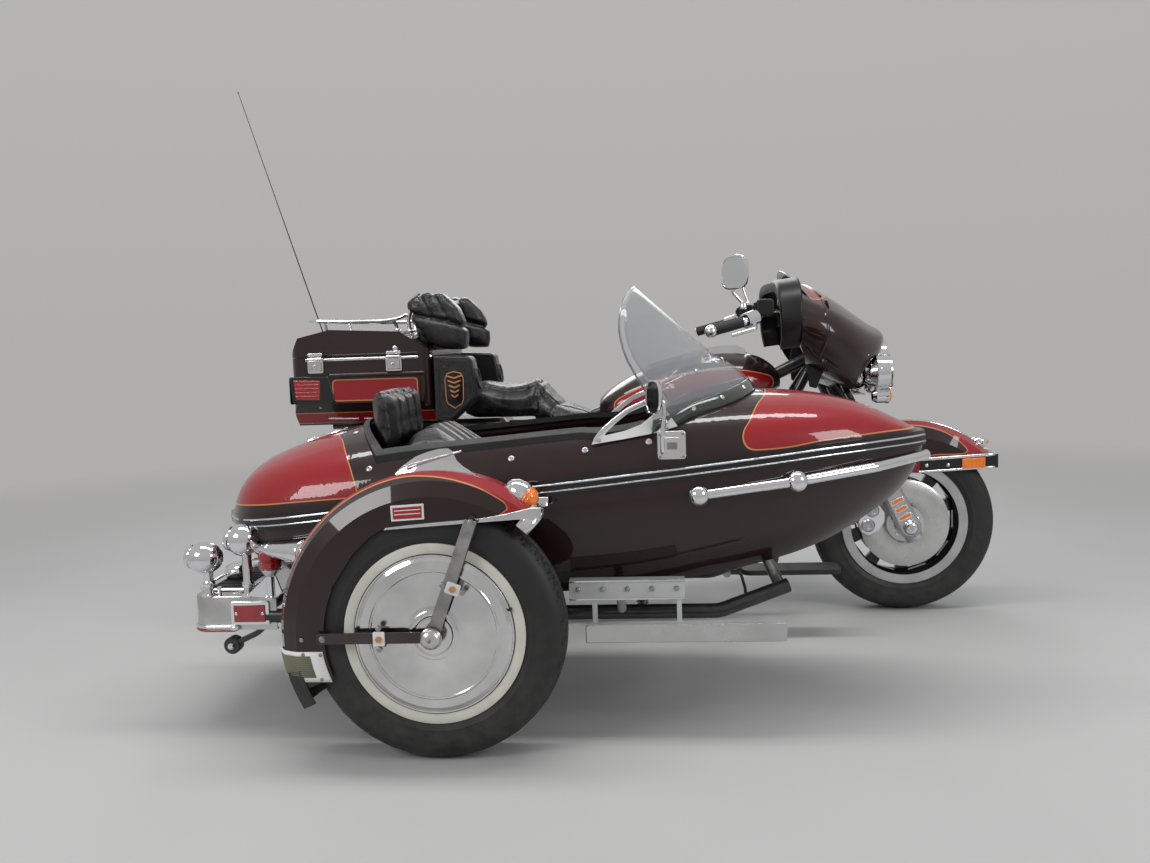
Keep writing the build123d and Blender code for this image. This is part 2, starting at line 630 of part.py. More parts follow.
# Foot boards, engine guard and side covers
boards = []
for side in (-1, 1):
    y_low, y_high = sorted((side * 300, side * 410))
    boards.append(rounded_box((1010, y_low, 214), (1325, y_high, 230), 30))
    boards.append(rod((1100, side * 135, 180), (1100, side * 340, 210), 12))
pieces["foot_boards"] = fuse(boards) - pieces["frame_cradle"]
guards = []
for side in (-1, 1):
    guards.append(tube([(head_x - 91, side * 90, 600), (head_x - 111, side * 330, 560),
                        (head_x - 121, side * 350, 330), (head_x - 156, side * 125, 250)], 15, 60))
pieces["engine_guards"] = fuse(guards) - pieces["frame_cradle"]
covers = []
for side in (-1, 1):
    y_low, y_high = sorted((side * 166, side * 176))
    covers.append(side_plate([(190, 575), (400, 575), (420, 650), (370, 690), (190, 690)], y_low, y_high))
    covers.append(rod((300, side * 105, 684), (300, side * 167, 670), 8))
pieces["side_covers"] = fuse(covers) - pieces["frame_backbone"]

# Sidecar body
# x, half width at the belt, half width of the keel, keel z, belt z, crown z
tub_rows = [
    (-430, 62, 40, 505, 532, 572),
    (-408, 112, 70, 490, 534, 616),
    (-360, 188, 112, 460, 539, 670),
    (-254, 258, 160, 405, 549, 722),
    (-40, 292, 190, 345, 573, 779),
    (300, 298, 200, 334, 610, 806),
    (700, 292, 190, 354, 649, 834),
    (1000, 252, 150, 396, 676, 843),
    (1180, 204, 110, 446, 692, 828),
    (1320, 140, 70, 520, 700, 787),
    (1410, 80, 34, 590, 703, 742),
    (1452, 34, 14, 668, 704, 722),
]


def tub_section(row, grow):
    x, belt_w, keel_w, keel, belt, crown = row
    if x == tub_rows[-1][0]:
        x = x + grow
    if x == tub_rows[0][0]:
        x = x - grow
    return crowned_section(x, tub_y, belt_w + grow, max(keel_w + grow * 0.6, 2), keel - grow, belt, crown + grow)


def tub_form(grow):
    """The body's whole outline, grown or shrunk all round."""
    return loft([tub_section(row, grow) for row in tub_rows])


def cockpit_plan(grow, z_low, z_high):
    """Prism over the cockpit opening: a shallow arc behind, a round front."""
    w = cockpit_half_width + grow
    rear = cockpit_rear_x - grow
    front = cockpit_front_x + grow
    corner = cockpit_corner_x - grow
    turn = 560.0
    with BuildSketch(Plane.XY.offset(z_low)) as plan:
        with BuildLine():
            Line((turn, tub_y - w), (corner, tub_y - w))
            ThreePointArc((corner, tub_y - w), (rear, tub_y), (corner, tub_y + w))
            Line((corner, tub_y + w), (turn, tub_y + w))
            ThreePointArc((turn, tub_y + w), (turn + (front - turn) * 0.70, tub_y + w * 0.70), (front, tub_y))
            ThreePointArc((front, tub_y), (turn + (front - turn) * 0.70, tub_y - w * 0.70), (turn, tub_y - w))
        make_face()
    return extrude(plan.sketch, amount=z_high - z_low, dir=(0, 0, 1))


form = tub_form(0)
shell = form - tub_form(-tub_wall)
opening = cockpit_plan(0, 640, 900)
pieces["sidecar_tub"] = shell - opening
rim_band = tub_form(rim_pad) - tub_form(seat_gap)
rim_band = rim_band & (cockpit_plan(rim_outside, 650, 900) - cockpit_plan(-rim_inside, 640, 910))
rim_cut = side_plate([(720, 640), (1100, 640), (1100, 950), (720, 950)], tub_y - 330, tub_y + 330)
pieces["cockpit_rim"] = rim_band - rim_cut


def belt_z(x):
    """Height of the belt line at a place along the body, from the body's rows."""
    for low, high in zip(tub_rows, tub_rows[1:]):
        if x <= high[0]:
            break
    share = (x - low[0]) / (high[0] - low[0])
    return low[4] + share * (high[4] - low[4])


belt_xs = [-460, -254, -40, 300, 700, 1000, 1180, 1320, 1470]
belt_band = side_plate([(x, belt_z(x) - belt_height / 2) for x in belt_xs] +
                       [(x, belt_z(x) + belt_height / 2) for x in belt_xs[::-1]], tub_y - 340, tub_y + 340)
pieces["tub_belt"] = (tub_form(belt_proud) - tub_form(seat_gap)) & belt_band

# Sidecar seat
seat_z = 560.0
pieces["sidecar_seat_base"] = box((70, tub_y - 180, 300), (460, tub_y + 180, seat_z)) & tub_form(-tub_wall - seat_gap)
# x, half width, high z of the cushion
cushion_rows = [
    (75, 212, 770),
    (105, 222, 788),
    (150, 224, 788),
    (195, 224, 756),
    (240, 222, 718),
    (350, 220, 692),
    (450, 212, 668),
    (480, 200, 648),
]


def cushion_section(row):
    x, half, high = row
    low = seat_z + seat_gap
    face = RectangleRounded(2 * half, high - low, 38)
    return Plane(origin=(x, tub_y, (low + high) / 2), x_dir=(0, 1, 0), z_dir=(1, 0, 0)) * face


with BuildSketch(Plane.XY) as back_plan:
    with BuildLine():
        Polyline((34, 200), (74, 200), (74, -200), (34, -200))
        ThreePointArc((34, -200), (-10, 0), (34, 200))
    make_face()
seat_back = extrude(back_plan.sketch, amount=184)
seat_back = fillet(seat_back.edges().group_by(Axis.Z)[-1], 24)
pieces["sidecar_seat_back"] = Pos(0, tub_y, 704) * Rot(0, -5, 0) * seat_back
pieces["sidecar_seat"] = loft([cushion_section(row) for row in cushion_rows])

# Windshield: part of a leaned cylinder, cut at the body and along its rear edge
screen_radius = 312.0
screen_lean = math.degrees(math.atan2(1009 - 701, 1127 - 844))
screen_foot = (1009, 844)
lean = math.radians(screen_lean)
axis_point = (screen_foot[0] - screen_radius * math.cos(lean), tub_y, screen_foot[1] - screen_radius * math.sin(lean))
screen_place = Pos(*axis_point) * Rot(0, -screen_lean, 0)
screen_tube = screen_place * (Cylinder(screen_radius, 1400) - Cylinder(screen_radius - screen_thickness, 1400))
screen_outline = side_plate([(701, 1127), (680, 1110), (667, 1070), (663, 1010), (672, 960), (700, 905), (724, 872),
                             (724, 700), (1120, 700), (1120, 900)], tub_y - 340, tub_y + 340)
pieces["windshield"] = (screen_tube & screen_outline) - tub_form(9)
base_tube = screen_place * (Cylinder(screen_radius + 5, 1400) - Cylinder(screen_radius - screen_thickness - 5, 1400))
base_cut = tub_form(34) - tub_form(seat_gap)
base_zone = box((600, tub_y - 330, 700), (1120, tub_y + 330, 960))
pieces["windshield_base"] = ((base_tube & base_cut) & base_zone) - pieces["windshield"]

# Sidecar fender
fender_box = fender_ring(sidecar_centre, fender_out_radius, fender_half_width, fender_wall, tyre_radius - 50, 46, 156)
arch = side_plate([(-20, 430), (35, 510), (76, 549), (110, 568), (wheel_lead + 266, 590), (wheel_lead + 300, 590),
                   (wheel_lead + 300, 120), (-20, 120)], sidecar_y - 120, sidecar_y + 120)
pieces["sidecar_fender"] = fender_box - arch
flap = fender_ring(sidecar_centre, fender_out_radius + 5, fender_half_width + 4, 4, 330, 194, 15)
pieces["fender_flap"] = flap - fender_ring(sidecar_centre, fender_out_radius + 0.3, fender_half_width + 0.3, 60, 250, 180, 40)
brace_y = sidecar_y - fender_half_width - 8
brace = side_plate([(-58, 298), (wheel_lead - 10, 299), (wheel_lead - 10, 325), (-58, 324)], brace_y - 5, brace_y)
strut = side_plate([(wheel_lead - 14, 318), (309, 592), (338, 586), (wheel_lead + 14, 306)], brace_y - 5, brace_y)
lugs = [rod((x, brace_y - 1, z), (x, sidecar_y - fender_half_width - seat_gap, z), 9) for x, z in ((-48, 311), (322, 589))]
ball = Pos(wheel_lead, brace_y - 6, axle_z) * Sphere(24)
axle_end = rod((wheel_lead, brace_y, axle_z), (wheel_lead, -1207, axle_z), axle_radius)
pieces["sidecar_axle"] = fuse([brace, strut, ball, axle_end] + lugs)

# Sidecar frame
rails = []
for y in (-650, -1090):
    rails.append(tube([(-340, y, sidecar_frame_z), (900, y, sidecar_frame_z), (1080, y + 40, 340)],
                      sidecar_tube_radius, 80))
for x in (-330, 700):
    rails.append(rod((x, -650, sidecar_frame_z), (x, -1090, sidecar_frame_z), sidecar_tube_radius - 3))
rails.append(rod((1060, -615, 334), (1060, -1055, 334), sidecar_tube_radius - 3))
rails.append(rod((wheel_lead, -650, sidecar_frame_z), (wheel_lead, -1205, axle_z), 22))
pieces["sidecar_frame"] = fuse(rails)
links = [
    rod((940, -640, 297), (975, -140, 160), 15),
    rod((520, -640, sidecar_frame_z), (520, -140, 150), 15),
    rod((760, -640, sidecar_frame_z), (head_x - 146, -108, 440), 13),
    rod((100, -640, sidecar_frame_z), (362, -110, 500), 13),
]
pieces["sidecar_links"] = fuse(links) - pieces["sidecar_frame"] - pieces["frame_cradle"]

# Sidecar step, nose bar, bumper, lamps and mirror
step_y = -1195.0
step = [box((523, step_y, 345), (811, step_y + 40, 392)),
        box((561, step_y - 8, 236), (1058, step_y, 284)),
        box((580, step_y, 250), (592, step_y + 10, 345)),
        box((790, step_y, 250), (802, step_y + 10, 345)),
        rod((650, step_y + 30, 360), (650, -1090, sidecar_frame_z), 12)]
pieces["sidecar_step"] = fuse(step) - pieces["sidecar_frame"]
nose_bar = [tube([(840, -1182, 598), (1093, -1158, 626), (1300, -1085, 648), (1455, -950, 660)], 13, 60)]
for x, y, z in ((850, -1168, 599), (1093, -1145, 626)):
    ball = Pos(x, y - 10, z) * Sphere(27)
    nose_bar[0] = nose_bar[0] - ball
    nose_bar.append(ball)
pieces["nose_bar"] = [part - tub_form(seat_gap) for part in nose_bar]
bumper_y = 210.0
bumper_rear_x = -500.0
bumper = [box((bumper_rear_x - 4, tub_y - bumper_y, 250), (bumper_rear_x, tub_y + bumper_y, 341))]
for side in (-1, 1):
    y_low, y_high = sorted((tub_y + side * bumper_y, tub_y + side * (bumper_y - 4)))
    bumper.append(box((bumper_rear_x, y_low, 250), (-270, y_high, 341)))
bumper.append(box((bumper_rear_x, tub_y - bumper_y, 337), (-440, tub_y + bumper_y, 341)))
bumper.append(rod((-352, tub_y - bumper_y + 2, sidecar_frame_z), (-352, tub_y + bumper_y - 2, sidecar_frame_z), 14))
pieces["rear_bumper"] = fuse(bumper) - pieces["sidecar_frame"]
lamps = []
for side in (-1, 1):
    y = tub_y + side * bumper_y
    stem = rod((-455, y - side * 12, 420), (-455, y - side * 12, 341 + seat_gap), 12)
    ball = Pos(-455, y, 447) * Sphere(46)
    lamps += [ball, stem - ball]
pieces["rear_lamps"] = lamps
mirror_head = Pos(742, -1220, 850) * Rot(0, 90, 0)
mirror_glass = extrude(Sketch() + RectangleRounded(112, 52, 25), amount=14, taper=8)
mirror_arm = tube([(752, -1220, 822), (775, -1228, 760), (785, -1190, 731)], 6, 18)
mirror_plate = box((755, -1200, 705), (815, -1150, 757)) & (tub_form(28) - tub_form(20))
mirror_foot = rod((785, -1196, 731), (785, -1150, 731), 14)
pieces["sidecar_mirror"] = (mirror_head * mirror_glass + mirror_arm + mirror_foot) - tub_form(seat_gap) - \
    pieces["windshield_base"] - pieces["windshield"]

# Node files and the pieces in each
nodes = {
    "front_tyre": ["front_tyre"],
    "front_rim": ["front_rim"],
    "front_wheel_covers": ["front_wheel_covers"],
    "rear_tyre": ["rear_tyre"],
    "rear_rim": ["rear_rim", "rear_wheel_drive"],
    "sidecar_tyre": ["sidecar_tyre"],
    "sidecar_rim": ["sidecar_rim"],
    "sidecar_wheel_cover": ["sidecar_wheel_cover"],
    "fork": ["fork", "fork_sliders"],
    "front_fender": ["front_fender"],
    "front_fender_rail": ["front_fender_rail"],
    "handlebar": ["handlebar", "control_levers"],
    "grips": ["grips"],
    "mirrors": ["mirrors"],
    "fairing": ["fairing"],
    "dash": ["dash"],
    "front_lamps": ["headlamp", "passing_lamps"],
    "frame": ["frame_backbone", "frame_cradle"],
    "engine_cylinders": ["engine_cylinders"],
    "engine_cases": ["crankcase", "gearbox"],
    "engine_covers": ["rocker_covers", "cam_cover", "timer_cover", "primary_cover", "air_cleaner"],
    "exhaust": ["exhaust_pipes", "mufflers"],
    "swing_arm": ["swing_arm"],
    "rear_fender": ["rear_fender"],
    "fuel_tank": ["fuel_tank"],
    "tank_console": ["tank_console"],
    "seat": ["rider_seat", "pillion_seat"],
    "pillion_backrest": ["pillion_backrest"],
    "speaker_pods": ["speaker_pods"],
    "top_case_base": ["top_case_base"],
    "top_case_lid": ["top_case_lid"],
    "lid_rack": ["lid_rack"],
    "antenna": ["antenna"],
    "top_case_lights": ["top_case_lights"],
    "saddlebags": ["saddlebag_left", "saddlebag_right"],
    "saddlebag_lid_left": ["saddlebag_lid_left"],
    "saddlebag_lid_right": ["saddlebag_lid_right"],
    "foot_boards": ["foot_boards"],
    "engine_guards": ["engine_guards"],
    "side_covers": ["side_covers"],
    "sidecar_tub": ["sidecar_tub"],
    "cockpit_rim": ["cockpit_rim"],
    "tub_belt": ["tub_belt"],
    "sidecar_seat": ["sidecar_seat_base", "sidecar_seat", "sidecar_seat_back"],
    "windshield": ["windshield"],
    "windshield_base": ["windshield_base"],
    "sidecar_fender": ["sidecar_fender"],
    "fender_struts": ["sidecar_axle"],
    "fender_flap": ["fender_flap"],
    "sidecar_frame": ["sidecar_frame", "sidecar_links"],
    "sidecar_step": ["sidecar_step"],
    "nose_bar": ["nose_bar"],
    "rear_bumper": ["rear_bumper"],
    "rear_lamps": ["rear_lamps"],
    "sidecar_mirror": ["sidecar_mirror"],
}


def lone_solids(names):
    """The solids of all the named pieces."""
    found = []
    for name in names:
        shapes = pieces[name] if isinstance(pieces[name], list) else [pieces[name]]
        for shape in shapes:
            found.extend(shape.solids())
    return found


# The finished outline is centred over the origin, then written
solids = {node: lone_solids(names) for node, names in nodes.items()}
boxes = [solid.bounding_box() for group in solids.values() for solid in group]
low_x = min(b.min.X for b in boxes)
high_x = max(b.max.X for b in boxes)
low_y = min(b.min.Y for b in boxes)
high_y = max(b.max.Y for b in boxes)
low_z = min(b.min.Z for b in boxes)
shift = (-(low_x + high_x) / 2, -(low_y + high_y) / 2, -low_z)

os.makedirs("parts", exist_ok=True)
for node, group in solids.items():
    moved = [Pos(*shift) * solid for solid in group]
    export_step(moved[0] if len(moved) == 1 else Compound(children=moved), f"parts/{node}.step")
print("shift", [round(v, 3) for v in shift], "length", high_x - low_x, "width", high_y - low_y)
for node, group in solids.items():
    print(node, len(group), [round(solid.volume / 1000) for solid in group][:12])
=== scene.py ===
"""The looks of a full-dress touring motorcycle with a sidecar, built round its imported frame.

Places are given in millimetres in the layout's own frame: x ahead of the rear axle,
y to the left of the motorcycle's middle, z above the ground.  at() turns them into the frame's metres.
"""
import math

import bpy
import bmesh
from mathutils import Matrix, Vector
from mathutils.bvhtree import BVHTree


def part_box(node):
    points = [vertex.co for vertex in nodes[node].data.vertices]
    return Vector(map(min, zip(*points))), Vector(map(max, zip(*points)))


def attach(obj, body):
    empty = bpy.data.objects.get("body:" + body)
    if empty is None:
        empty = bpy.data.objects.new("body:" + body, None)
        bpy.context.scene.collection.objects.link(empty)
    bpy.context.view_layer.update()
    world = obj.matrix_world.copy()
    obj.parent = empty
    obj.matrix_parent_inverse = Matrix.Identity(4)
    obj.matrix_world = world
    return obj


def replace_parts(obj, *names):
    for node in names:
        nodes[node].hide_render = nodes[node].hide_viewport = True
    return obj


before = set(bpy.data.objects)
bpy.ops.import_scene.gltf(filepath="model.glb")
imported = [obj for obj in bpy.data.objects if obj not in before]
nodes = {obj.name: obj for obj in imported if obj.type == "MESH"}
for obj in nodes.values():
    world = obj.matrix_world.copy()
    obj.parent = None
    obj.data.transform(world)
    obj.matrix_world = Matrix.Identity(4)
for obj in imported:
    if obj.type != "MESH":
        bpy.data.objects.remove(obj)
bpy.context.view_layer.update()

rear_low, rear_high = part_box("rear_tyre")
shift_x = (rear_low.x + rear_high.x) / 2
shift_y = (rear_low.y + rear_high.y) / 2
wheelbase = 1598.0
tyre_radius = 312.0
sidecar_x = 217.0
sidecar_y = -1313.0
tub_y = -890.0
rake = math.radians(26.0)
AHEAD, BACK = (1, 0, 0), (-1, 0, 0)
LEFT, RIGHT = (0, 1, 0), (0, -1, 0)
UP, DOWN = (0, 0, 1), (0, 0, -1)
SIDES = ((-1, "right"), (1, "left"))
NEAR_FAR = ((-1, "near"), (1, "far"))


def at(x, y, z):
    """A place in the layout, in millimetres, as a point of the frame, in metres."""
    return Vector((x / 1000 + shift_x, y / 1000 + shift_y, z / 1000))


def layout(point):
    """A point of the frame, in metres, as a place in the layout, in millimetres."""
    return Vector(((point.x - shift_x) * 1000, (point.y - shift_y) * 1000, point.z * 1000))


# Mesh makers

def piece(name, points, faces, body, finish, sharp=35.0, bevel=0.0):
    """A mesh piece from places in the layout, with its edges, finish and body."""
    mesh = bpy.data.meshes.new(name)
    mesh.from_pydata([at(*p) for p in points], [], faces)
    mesh.validate()
    obj = bpy.data.objects.new(name, mesh)
    shape = bmesh.new()
    shape.from_mesh(mesh)
    bmesh.ops.remove_doubles(shape, verts=shape.verts, dist=1e-6)
    bmesh.ops.recalc_face_normals(shape, faces=shape.faces)
    shape.to_mesh(mesh)
    shape.free()
    for polygon in mesh.polygons:
        polygon.use_smooth = True
    mesh.set_sharp_from_angle(angle=math.radians(sharp))
    bpy.context.scene.collection.objects.link(obj)
    if bevel:
        modifier = obj.modifiers.new("edge", "BEVEL")
        modifier.width = bevel / 1000
        modifier.segments = 3
        modifier.limit_method = "ANGLE"
        modifier.angle_limit = math.radians(30)
        modifier.harden_normals = True
    mesh.materials.append(finish)
    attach(obj, body)
    return obj


def rounded_path(points, bend):
    """The points with each inner corner replaced by a curve of about that bend length."""
    steps = 6
    path = [Vector(points[0])]
    for before, corner, after in zip(points, points[1:], points[2:]):
        before, corner, after = Vector(before), Vector(corner), Vector(after)
        first, second = before - corner, after - corner
        reach = min(bend, first.length * 0.48, second.length * 0.48)
        start = corner + first.normalized() * reach
        end = corner + second.normalized() * reach
        for i in range(steps + 1):
            t = i / steps
            path.append(start * (1 - t) ** 2 + corner * 2 * t * (1 - t) + end * t * t)
    path.append(Vector(points[-1]))
    return path


def swept(path, ring):
    """Points and faces of a ring of (side, up) offsets carried along a path without twisting."""
    count, last = len(ring), len(path) - 1
    directions = []
    for i in range(len(path)):
        directions.append((path[min(i + 1, last)] - path[max(i - 1, 0)]).normalized())
    side = directions[0].orthogonal().normalized()
    if abs(directions[0].z) < 0.9:
        side = directions[0].cross(Vector(UP)).normalized()
    points, faces = [], []
    for point, direction in zip(path, directions):
        side = (side - direction * side.dot(direction)).normalized()
        up = side.cross(direction)
        points += [point + side * a + up * b for a, b in ring]
    for i in range(last):
        base, following = i * count, (i + 1) * count
        for j in range(count):
            k = (j + 1) % count
            faces.append((base + j, base + k, following + k, following + j))
    faces.append(tuple(range(count)))
    faces.append(tuple(range(last * count, len(path) * count)))
    return points, faces


def circle(radius, sides=12):
    """A round cross-section."""
    return [(radius * math.cos(2 * math.pi * i / sides), radius * math.sin(2 * math.pi * i / sides))
            for i in range(sides)]


def tube(name, points, radius, body, finish, bend=20.0, sides=14):
    """A round tube through places, bent at its corners."""
    return piece(name, *swept(rounded_path(points, bend), circle(radius, sides)), body, finish, sharp=50)


def strap(name, points, width, thick, body, finish, bend=10.0, bevel=0.0):
    """A flat strip through places, its width level and its thickness up."""
    ring = [(-width / 2, -thick / 2), (width / 2, -thick / 2), (width / 2, thick / 2),
            (-width / 2, thick / 2)]
    made = swept(rounded_path(points, bend), ring)
    return piece(name, *made, body, finish, bevel=bevel)


def axes_of(direction):
    """Two directions across the given one."""
    direction = Vector(direction).normalized()
    first = direction.cross(Vector(UP))
    if first.length < 1e-3:
        first = Vector(AHEAD)
    first.normalize()
    return direction, first, first.cross(direction)


def spun(name, outline, centre, direction, body, finish, steps=48, sharp=35.0):
    """An outline of (along, radius) turned about a line through a place."""
    along, first, second = axes_of(direction)
    centre = Vector(centre)
    points, faces = [], []
    for a, r in outline:
        for i in range(steps):
            turn = 2 * math.pi * i / steps
            across = first * math.cos(turn) + second * math.sin(turn)
            points.append(centre + along * a + across * max(r, 0.02))
    for row in range(len(outline) - 1):
        for i in range(steps):
            j = (i + 1) % steps
            faces.append((row * steps + i, row * steps + j, (row + 1) * steps + j, (row + 1) * steps + i))
    if Vector(outline[0]) != Vector(outline[-1]):
        faces.append(tuple(range(steps)))
        faces.append(tuple(range((len(outline) - 1) * steps, len(outline) * steps)))
    return piece(name, points, faces, body, finish, sharp=sharp)


def plate(name, outline, low, high, body, finish, plane="y", bevel=1.0):
    """A flat outline made thick between two distances along x, y or z."""
    def put(u, v, d):
        """A place from the outline's two coordinates and the distance."""
        return {"x": (d, u, v), "y": (u, d, v), "z": (u, v, d)}[plane]
    count = len(outline)
    points = [put(u, v, low) for u, v in outline] + [put(u, v, high) for u, v in outline]
    faces = [tuple(range(count)), tuple(range(count, 2 * count))]
    for i in range(count):
        j = (i + 1) % count
        faces.append((i, j, count + j, count + i))
    return piece(name, points, faces, body, finish, sharp=30, bevel=bevel)


def rounded_outline(low, high, radius, steps=5):
    """A rectangle's outline with round corners."""
    points = []
    corners = [(high[0] - radius, high[1] - radius, 0), (low[0] + radius, high[1] - radius, 90),
               (low[0] + radius, low[1] + radius, 180), (high[0] - radius, low[1] + radius, 270)]
    for x, z, start in corners:
        for i in range(steps + 1):
            turn = math.radians(start + 90 * i / steps)
            points.append((x + radius * math.cos(turn), z + radius * math.sin(turn)))
    return points


def block(name, low, high, body, finish, bevel=4.0):
    """A block between two corners with soft edges."""
    outline = [(low[0], low[1]), (high[0], low[1]), (high[0], high[1]), (low[0], high[1])]
    return plate(name, outline, low[2], high[2], body, finish, plane="z", bevel=bevel)


def ball(name, centre, radius, body, finish, squeeze=(1, 1, 1), rings=16):
    """A ball, or an egg where it is squeezed."""
    points, faces = [], []
    steps = rings * 2
    for i in range(1, rings):
        fall = math.pi * i / rings
        for j in range(steps):
            turn = 2 * math.pi * j / steps
            points.append((centre[0] + radius * squeeze[0] * math.sin(fall) * math.cos(turn),
                           centre[1] + radius * squeeze[1] * math.sin(fall) * math.sin(turn),
                           centre[2] + radius * squeeze[2] * math.cos(fall)))
    for i in range(rings - 2):
        for j in range(steps):
            k = (j + 1) % steps
            faces.append((i * steps + j, i * steps + k, (i + 1) * steps + k, (i + 1) * steps + j))
    faces.append(tuple(range(steps)))
    faces.append(tuple(range((rings - 2) * steps, (rings - 1) * steps)))
    return piece(name, points, faces, body, finish, sharp=60)


def loft(name, rings, body, finish, closed=True, caps=True, sharp=35.0, bevel=0.0):
    """A skin over rings of places, each with as many points."""
    count = len(rings[0])
    points = [p for ring in rings for p in ring]
    faces = []
    last = count if closed else count - 1
    for i in range(len(rings) - 1):
        for j in range(last):
            k = (j + 1) % count
            faces.append((i * count + j, i * count + k, (i + 1) * count + k, (i + 1) * count + j))
    if caps and closed:
        faces.append(tuple(range(count)))
        faces.append(tuple(range((len(rings) - 1) * count, len(rings) * count)))
    return piece(name, points, faces, body, finish, sharp=sharp, bevel=bevel)


def surface_of(obj):
    """A search tree over an object's faces, for laying things on it."""
    dg = bpy.context.evaluated_depsgraph_get()
    return BVHTree.FromObject(obj, dg)


def touch(tree, start, direction):
    """Where a line from a place first meets a surface, with the surface's normal."""
    hit, normal, _, _ = tree.ray_cast(at(*start), Vector(direction))
    if hit is None:
        return None, None
    return layout(hit), normal


def laid(tree, lines):
    """Where lines of (start, direction) meet a surface, with its normals; a line that misses is left out."""
    met = [touch(tree, start, aim) for start, aim in lines]
    return [hit for hit, _ in met if hit is not None], [normal for hit, normal in met if hit is not None]


def from_side(side, places, far=500):
    """Lines that look in level from one side of the motorcycle at places of (x, z)."""
    return [((x, side * far, z), (0, -side, 0)) for x, z in places]


def stud(name, tree, start, direction, outline, body, finish, steps=20, sharp=35.0):
    """A small turned thing standing on a surface; its outline is (height, radius)."""
    hit, normal = touch(tree, start, direction)
    if hit is not None:
        spun(name, outline, hit, normal, body, finish, steps=steps, sharp=sharp)


def thicken(sheet, thick, offset=0.0):
    """Gives a sheet its thickness, in millimetres, to both sides or to one."""
    shell = sheet.modifiers.new("thickness", "SOLIDIFY")
    shell.thickness = thick / 1000
    shell.offset = offset
    return sheet


def side_plate(name, outline, side, low, high, body, finish, bevel=1.0):
    """A plate on one side of the motorcycle, between two distances from its middle."""
    low, high = sorted((side * low, side * high))
    return plate(name, outline, low, high, body, finish, bevel=bevel)


# Shader makers

def add(tree, kind, **values):
    """A node, with the named inputs or settings set."""
    node = tree.nodes.new(kind)
    for key, value in values.items():
        if key in node.inputs:
            node.inputs[key].default_value = value
        else:
            setattr(node, key, value)
    return node


def group(name, inputs, outputs):
    """An empty shader node group with named sockets, and its two end nodes."""
    tree = bpy.data.node_groups.new(name, "ShaderNodeTree")
    for label, kind, value in inputs:
        socket = tree.interface.new_socket(label, in_out="INPUT", socket_type=kind)
        socket.default_value = value
    for label, kind in outputs:
        tree.interface.new_socket(label, in_out="OUTPUT", socket_type=kind)
    return tree, tree.nodes.new("NodeGroupInput"), tree.nodes.new("NodeGroupOutput")


def maths(tree, operation, first, second=None, third=None):
    """A maths node on sockets or numbers."""
    node = tree.nodes.new("ShaderNodeMath")
    node.operation = operation
    for i, value in enumerate((first, second, third)):
        if value is None:
            continue
        if isinstance(value, (int, float)):
            node.inputs[i].default_value = value
        else:
            tree.links.new(value, node.inputs[i])
    return node.outputs[0]


def ranged(tree, value, low, high, to_low=0.0, to_high=1.0):
    """A value carried from one range to another and held inside it."""
    node = tree.nodes.new("ShaderNodeMapRange")
    node.inputs["From Min"].default_value = low
    node.inputs["From Max"].default_value = high
    node.inputs["To Min"].default_value = to_low
    node.inputs["To Max"].default_value = to_high
    tree.links.new(value, node.inputs["Value"])
    return node.outputs["Result"]


def follow(tree, value, points):
    """A value read from a smooth curve through the points."""
    xs, ys = [p[0] for p in points], [p[1] for p in points]
    low_x, high_x, low_y, high_y = min(xs), max(xs), min(ys), max(ys)
    curve = tree.nodes.new("ShaderNodeFloatCurve")
    line = curve.mapping.curves[0]
    spots = [((x - low_x) / (high_x - low_x), (y - low_y) / (high_y - low_y)) for x, y in points]
    line.points[0].location, line.points[1].location = spots[0], spots[-1]
    for spot in spots[1:-1]:
        line.points.new(*spot)
    curve.mapping.update()
    tree.links.new(ranged(tree, value, low_x, high_x), curve.inputs["Value"])
    return ranged(tree, curve.outputs["Value"], 0, 1, low_y, high_y)


def mixed(tree, share, first, second):
    """A colour between two colours or sockets."""
    node = tree.nodes.new("ShaderNodeMix")
    node.data_type = "RGBA"
    for socket, value in ((node.inputs[0], share), (node.inputs[6], first), (node.inputs[7], second)):
        if isinstance(value, (tuple, list)):
            socket.default_value = (*value[:3], 1)
        elif isinstance(value, (int, float)):
            socket.default_value = value
        else:
            tree.links.new(value, socket)
    return node.outputs[2]


# Mottle: soft and fine unevenness of a surface, for colour, gloss and bump
mottle_group, source, sink = group(
    "Mottle", [("Soft scale", "NodeSocketFloat", 6.0), ("Fine scale", "NodeSocketFloat", 300.0)],
    [("Soft", "NodeSocketFloat"), ("Fine", "NodeSocketFloat")])
spot = add(mottle_group, "ShaderNodeTexCoord")
for scale, out, detail in (("Soft scale", "Soft", 3.0), ("Fine scale", "Fine", 2.0)):
    noise = add(mottle_group, "ShaderNodeTexNoise", Detail=detail, Roughness=0.6)
    mottle_group.links.new(spot.outputs["Object"], noise.inputs["Vector"])
    mottle_group.links.new(source.outputs[scale], noise.inputs["Scale"])
    mottle_group.links.new(noise.outputs["Fac"], sink.inputs[out])

